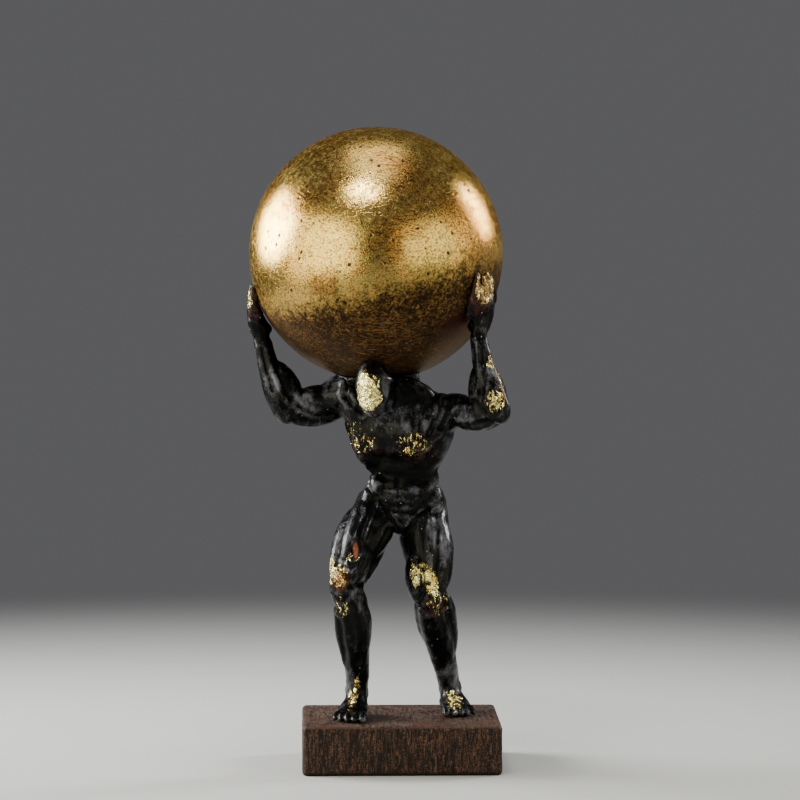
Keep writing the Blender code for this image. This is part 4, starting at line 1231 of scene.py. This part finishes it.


# %% [markdown]
# ## Antique gold leaf on the ball
#
# Leaf is metal, so nearly all of its colour is the colour of its reflections. Over it lies a brown
# glaze, rubbed off where hands and cloth reach and left in clouds elsewhere. Towards the bottom the
# glaze is painted thicker and deeper as a dark reflection, and beside the hands a maroon shade is
# painted on. The casting under the leaf has pinholes that the glaze fills with dark dots, and the
# rubbing left hair scratches.

# %% Gild the ball
GOLD_DEEP, GOLD_PALE = (0.91, 0.480, 0.128), (1.0, 0.720, 0.200)
GOLD_RUDDY, GOLD_RUBBED = (0.84, 0.37, 0.085), (0.20, 0.092, 0.022)
DEEP_GLAZE_AND_REFLECTION, GLAZE_THIN = (0.015, 0.007, 0.0035), (0.25, 0.125, 0.033)
SCRATCH_BROWN, PIT_BROWN, HAND_SHADE_MAROON = (0.14, 0.065, 0.020), (0.018, 0.009, 0.003), (0.026, 0.004, 0.004)
# Ways from the ball's centre to the two places beside the hands where a maroon shade is painted
HAND_SHADE_WAYS = ((0.61, -0.57, -0.55), (-0.86, -0.08, -0.50))


def gilding():
    paint = Paint("antique_gold", Specular_Tint=(0.90, 0.66, 0.42, 1), Specular_IOR_Level=0.15)
    at = paint.place(centre=BALL_CENTRE)
    side, height = paint.along(at, "X", BALL_RADIUS), paint.along(at, "Z", BALL_RADIUS)
    cloud, blotch = paint.noise(at, 0.034, 3, 0.55), paint.noise(at, 0.0085, 5, 0.72)
    grit, dirt = paint.noise(at, 0.0009, 3, 0.72), paint.noise(at, 0.0024, 4, 0.72)
    curl = paint.noise(at, 0.0026, 3, 0.65, 1.6)
    # The two masks on this line mark the lower ball, where a painted dark reflection thickens the
    # glaze.
    low, lowest = (side * 0.25 + 0.10 - height).above(0.08, 0.58), (-0.40 - height).above(0.0, 0.4)
    clouded = cloud * 0.6 + blotch * 1.1 + dirt * 2.1 + grit * 0.9
    glaze_and_dark_reflection = (clouded + low * 1.35 + lowest * 0.3).above(2.08, 3.58)
    hair = paint.noise(paint.place(BALL_CENTRE, (0.3, 0.2, 0.5), (1, 14, 14)), 0.020, 2, 0.5)
    cross = paint.noise(paint.place(BALL_CENTRE, (1.2, -0.5, -0.7), (16, 1, 16)), 0.024, 2, 0.5)
    scratches = hair.above(0.58, 0.65) * 0.5 + cross.above(0.59, 0.66) * 0.5
    pits = paint.specks(at, 0.0056, 0.00105, 0.55)
    dust = paint.specks(at, 0.0017, 0.00045, 0.55)
    leaf = paint.mix(GOLD_DEEP, GOLD_PALE, (blotch * 0.5 + dirt * 0.5).above(0.34, 0.58))
    ruddy = paint.mix(leaf, GOLD_RUDDY, cloud.above(0.46, 0.64) * 0.7)
    rubbed = paint.mix(ruddy, GOLD_RUBBED, grit.above(0.49, 0.66) * 0.92)
    # The brown turns deeper towards the bottom: painted dark reflection.
    brown = paint.mix(DEEP_GLAZE_AND_REFLECTION, GLAZE_THIN, curl.above(0.49, 0.69) * (0.72 - lowest * 0.62))
    # The glazed colour holds the glaze and, at the bottom, the painted dark reflection.
    glazed = paint.mix(rubbed, brown, glaze_and_dark_reflection)
    nick = paint.noise(paint.place(BALL_CENTRE, (0.2, 0.4, 0.9), (3, 20, 20)), 0.012, 2, 0.55)
    dent = paint.noise(paint.place(BALL_CENTRE, (-0.5, 0.3, 0.3), (3, 20, 20)), 0.012, 2, 0.55)
    nicked = (nick.above(0.57, 0.63) + dent.above(0.58, 0.64)) * cloud.above(0.46, 0.58)
    wear_and_painted_shade = paint.mix(glazed, SCRATCH_BROWN, scratches * 0.6 + nicked * 0.8)
    # Painted shade: a dark maroon shade on the ball beside each hand.
    for way in HAND_SHADE_WAYS:
        ends = {0: at, 1: Vector(way) * BALL_RADIUS}
        far = paint.node("ShaderNodeVectorMath", {"operation": "DISTANCE"}, ends, "Value")
        shade = (far * (1 / BALL_RADIUS) + (dirt - 0.5) * 0.3).above(0.06, 0.22)
        wear_and_painted_shade = paint.mix(HAND_SHADE_MAROON, wear_and_painted_shade, shade * 0.88 + 0.12)
    colour = paint.mix(wear_and_painted_shade, PIT_BROWN, pits * 0.95 + dust * 0.75)
    relief = grit * 1.0 + dirt * 0.4 - pits * 1.0 - scratches * 0.4
    return paint.finish(Base_Color=colour, Metallic=(1 - pits * 0.9) * (1 - glaze_and_dark_reflection * 0.60),
                        Roughness=0.11 + glaze_and_dark_reflection * 0.26 + dirt * 0.09, Normal=paint.bump(relief, 0.00010))


ball.data.materials.append(gilding())
print("ball gilded")

# %% [markdown]
# ## Black patina with leaf
#
# The figure was painted black and varnished to a half gloss. The numbers on its points steer the
# rest. Where relief or wiping is high, grey shows; this grey includes the painted highlights, and
# the painted shade of the shadowed recesses takes it away and thins the varnish there. Size is a
# red-brown stain. Leaf covers a point when its number and a noise together pass a threshold, which
# gives torn edges and bare flecks. It is wrinkled foil: a second noise cracks it, and the bump lifts
# it off the black.

# %% Paint the figure
# The grey on the next line serves both the wiping and the painted highlights.
BLACK, WIPED_AND_HIGHLIGHT_GREY, PALE_SPECK_GREY = (0.0017, 0.0016, 0.0020), (0.122, 0.119, 0.150), (0.40, 0.40, 0.40)
SIZE_DARK, SIZE_RED = (0.048, 0.016, 0.012), (0.26, 0.078, 0.042)
LEAF_BRIGHT, LEAF_DEEP = (1.0, 0.87, 0.36), (0.66, 0.40, 0.08)
LEAF_RIM, LEAF_CRACK, LEAF_GLAZE = (0.035, 0.018, 0.006), (0.035, 0.018, 0.005), (0.26, 0.10, 0.032)


def patina():
    paint = Paint("black_patina_and_leaf", Coat_Roughness=0.14, Specular_IOR_Level=0.06)
    at = paint.place()
    relief, leaf = paint.number("relief"), paint.number("leaf")
    size, wiped_and_painted_light = paint.number("size"), paint.number("wiped_and_painted_light")
    grit, flake = paint.noise(at, 0.0009, 3, 0.6), paint.noise(at, 0.0030, 5, 0.75)
    cloud = paint.noise(at, 0.0085, 4, 0.62, 0.4)
    stroke = paint.noise(paint.place(stretch=(1, 1, 0.30)), 0.0034, 4, 0.66, 0.5)
    curl, foil = paint.noise(at, 0.0030, 4, 0.64, 1.2), paint.noise(at, 0.0046, 3, 0.60, 0.8)
    streak = paint.noise(paint.place(stretch=(1, 1, 0.34)), 0.0013, 3, 0.60, 0.8)
    fold = paint.noise(at, 0.0056, 3, 0.55, 1.2) - 0.5
    wrinkle = paint.node("ShaderNodeMath", {"operation": "ABSOLUTE"}, {0: fold})
    # The wiping number carries painted highlights and painted shade, so the grey mask below does too.
    worked_with_painted_light = relief * 0.26 + wiped_and_painted_light * 0.75 + (cloud - 0.5) * 2.6
    rough = (stroke - 0.5) * 3.0 + (flake - 0.5) * 1.5 + (grit - 0.5) * 1.8
    brushed_with_painted_light = (worked_with_painted_light + rough).above(0.30, 2.2)
    black = paint.mix(BLACK, WIPED_AND_HIGHLIGHT_GREY, brushed_with_painted_light)
    fresh = (size + (stroke - 0.5) * 1.6 + (flake - 0.5) * 0.8).above(1.00, 1.45)
    stain = (size + (flake - 0.5) * 3.0 - 0.55).above(-0.10, 0.60)
    red = paint.mix(SIZE_DARK, SIZE_RED, fresh)
    stained = paint.mix(black, red, stain * 0.85)
    # Small pale grey specks scattered over the paint.
    specks = paint.specks(at, 0.0026, 0.00036, 0.12)
    specked = paint.mix(stained, PALE_SPECK_GREY, specks * 0.75)
    ragged = leaf + (curl - 0.5) * 1.1 + (streak - 0.5) * 2.6 + (flake - 0.5) * 0.8
    torn = ragged * leaf.above(0.02, 0.20)
    rim, cover = torn.above(0.34, 0.46), torn.above(0.50, 0.56)
    edged = paint.mix(specked, LEAF_RIM, rim * 0.9)
    metal = paint.mix(LEAF_BRIGHT, LEAF_DEEP, (foil * 0.7 + flake * 0.4).above(0.56, 0.70))
    uncracked = wrinkle.above(0.006, 0.044) + (leaf - 0.95).above(0.0, 0.4) * 0.5
    cracked = paint.mix(LEAF_CRACK, metal, uncracked)
    glazed = paint.mix(cracked, LEAF_GLAZE, (size - 0.55).above(0.0, 0.6) * 0.80)
    colour = paint.mix(edged, glazed, cover)
    crumpled = 0.4 + foil * 7.5 + wrinkle.above(0.0, 0.12) * 1.6
    bumps = grit * 0.35 + stroke * 0.4 + flake * 0.25 + cover * crumpled
    varnish = (0.10 + relief * 0.05 + wiped_and_painted_light * 0.10).above(0.0, 0.4) * 0.34
    dull = 0.30 + (flake - 0.5) * 0.4 + brushed_with_painted_light * 0.12 - cover * 0.08
    return paint.finish(Base_Color=colour, Metallic=cover, Coat_Weight=varnish, Roughness=dull,
                        Normal=paint.bump(bumps, 0.00042))


figure.data.materials.append(patina())
print("figure painted")

# %% [markdown]
# ## Stained grain
#
# The plinth is stained a dark red-brown. On the sides a fine upright grain breaks into dark and
# rubbed lines, and the sides turn nearly black towards the bottom. The top is paler, with a faint
# grain from front to back, and clouded with red.

# %% Stain the plinth
GROOVE, SIDE_BROWN, FOOT_DARK = (0.0045, 0.0020, 0.0014), (0.145, 0.063, 0.036), (0.006, 0.003, 0.002)
TOP_DARK, TOP_BROWN, TOP_RED = (0.006, 0.003, 0.002), (0.102, 0.062, 0.048), (0.086, 0.026, 0.018)


def stain():
    paint = Paint("red_brown_stain", Specular_IOR_Level=0.20)
    at = paint.place()
    line = paint.noise(paint.place(stretch=(1, 1, 0.16)), 0.0010, 4, 0.80, 0.8)
    band = paint.noise(paint.place(stretch=(1, 1, 0.22)), 0.0045, 4, 0.72, 0.8)
    depth_grain = paint.noise(paint.place(stretch=(1, 0.14, 1)), 0.0011, 4, 0.80, 0.4)
    cloud, grit = paint.noise(at, 0.010, 5, 0.7), paint.noise(at, 0.0009, 3, 0.75)
    height = paint.along(at, "Z", plinth_high[2])
    top = height.above(0.93, 0.99)
    rubbed = (line * 1.7 + band * 0.4 + grit * 1.2).above(1.56, 2.04)
    side = paint.mix(GROOVE, SIDE_BROWN, rubbed)
    upper = paint.mix(TOP_DARK, TOP_BROWN, (cloud * 0.5 + depth_grain * 2.0).above(0.96, 1.48))
    flush = paint.noise(at, 0.026, 3, 0.6).above(0.50, 0.68)
    colour = paint.mix(side, paint.mix(upper, TOP_RED, flush * 0.5), top)
    # The colour turns nearly black towards the bottom of the plinth.
    footed = paint.mix(FOOT_DARK, colour, height.above(0.0, 0.14))
    relief = line * (1 - top) + grit * 0.6 + cloud * 0.3
    dull = 0.50 + (cloud - 0.5) * 0.4 + (grit - 0.5) * 0.3
    return paint.finish(Base_Color=footed, Roughness=dull, Normal=paint.bump(relief, 0.0004))


plinth.data.materials.append(stain())
print("plinth stained")

# %% [markdown]
# ## Floor
#
# The floor is a plain pale disc. It fades into the grey of the studio towards its rim, so that no
# hard horizon cuts through the picture behind the statue.

# %% Set the floor
FLOOR_FADES = 0.16
FLOOR_RADIUS = 0.85
FLOOR_GREYS = (0.50, 0.50, 0.50), (0.53, 0.53, 0.53)


def floor_disc(radius, count):
    turn = np.linspace(0, 2 * math.pi, count, endpoint=False)
    points = np.column_stack([radius * np.cos(turn), radius * np.sin(turn), np.zeros(count)])
    return points, [list(range(count))]


def floor_paint():
    paint = Paint("pale_floor", Roughness=0.85, Specular_IOR_Level=0.2)
    at = paint.place()
    away = paint.node("ShaderNodeVectorMath", {"operation": "LENGTH"}, {0: at}, "Value")
    colour = paint.mix(*FLOOR_GREYS, paint.noise(at, 0.05, 2, 0.5))
    return paint.finish(Base_Color=colour, Alpha=1 - away.above(FLOOR_FADES, FLOOR_RADIUS))


floor = bpy.data.objects.new("floor", mesh_of("floor", *floor_disc(FLOOR_RADIUS, 96)))
floor.data.materials.append(floor_paint())
bpy.context.scene.collection.objects.link(floor)

# %% [markdown]
# ## Light
#
# A ball of metal shows the studio rather than itself, so each light is placed by what it does on the
# ball. Round windows left, right and above give the three bright spots. Two wide warm screens in
# front fill the middle and leave a dark gap between them. A weak panel overhead lights the rim.

# %% Light it
STUDIO_GREY = (0.108, 0.108, 0.112, 1)
# Each soft box: direction from the ball, distance, width, height, power in watts
BOXES = {
    "left_window": ((-0.915, 0.320, 0.235), 0.90, 0.70, 0.52, 22.0),
    "right_window": ((0.840, 0.430, 0.340), 0.90, 0.17, 0.40, 5.8),
    "top_window": ((-0.174, -0.507, 0.844), 0.90, 0.30, 0.11, 3.4),
    "overhead": ((0.000, 0.040, 1.000), 1.00, 0.50, 0.74, 2.4),
    "left_screen": ((-0.805, -0.588, 0.09), 1.00, 1.28, 0.82, 9.6),
    "right_screen": ((0.846, -0.533, 0.07), 1.00, 1.56, 0.82, 5.8),
}
WINDOW_COLOUR, SCREEN_COLOUR = (1.0, 1.0, 0.97), (1.0, 0.98, 0.68)
for name, (way, distance, width, tall, power) in BOXES.items():
    lamp = bpy.data.lights.new(name, "AREA")
    lamp.size, lamp.size_y, lamp.energy = width, tall, power
    lamp.color = SCREEN_COLOUR if "screen" in name else WINDOW_COLOUR
    lamp.shape = "ELLIPSE" if "window" in name else "RECTANGLE"
    box = bpy.data.objects.new(name, lamp)
    box.location = BALL_CENTRE + unit_vector(way) * distance
    box.rotation_mode = "QUATERNION"
    box.rotation_quaternion = Vector(way).to_track_quat("Z", "Y")
    box.visible_camera = False
    bpy.context.scene.collection.objects.link(box)
world = bpy.data.worlds.new("studio")
world.use_nodes = True
world.node_tree.nodes["Background"].inputs["Color"].default_value = STUDIO_GREY
bpy.context.scene.world = world
print(len(BOXES), "soft boxes lit")

# %% [markdown]
# ## Camera
#
# The camera stands where the photograph's did. Its height and distance were found from the plinth's
# top face, which is seen at a low angle, and from the ball's outline.

# %% Stand the camera
EYE = (-0.0475, -1.8264, 0.2836)
AIM = (-0.0002, 0.0, 0.1834)
SENSOR_WIDTH, FOCAL_LENGTH = 36, 164.5
lens = bpy.data.cameras.new("camera")
lens.sensor_width, lens.lens = SENSOR_WIDTH, FOCAL_LENGTH
camera = bpy.data.objects.new("camera", lens)
camera.location = EYE
camera.rotation_mode = "QUATERNION"
camera.rotation_quaternion = (Vector(AIM) - Vector(EYE)).to_track_quat("-Z", "Y")
bpy.context.scene.collection.objects.link(camera)
bpy.context.scene.camera = camera
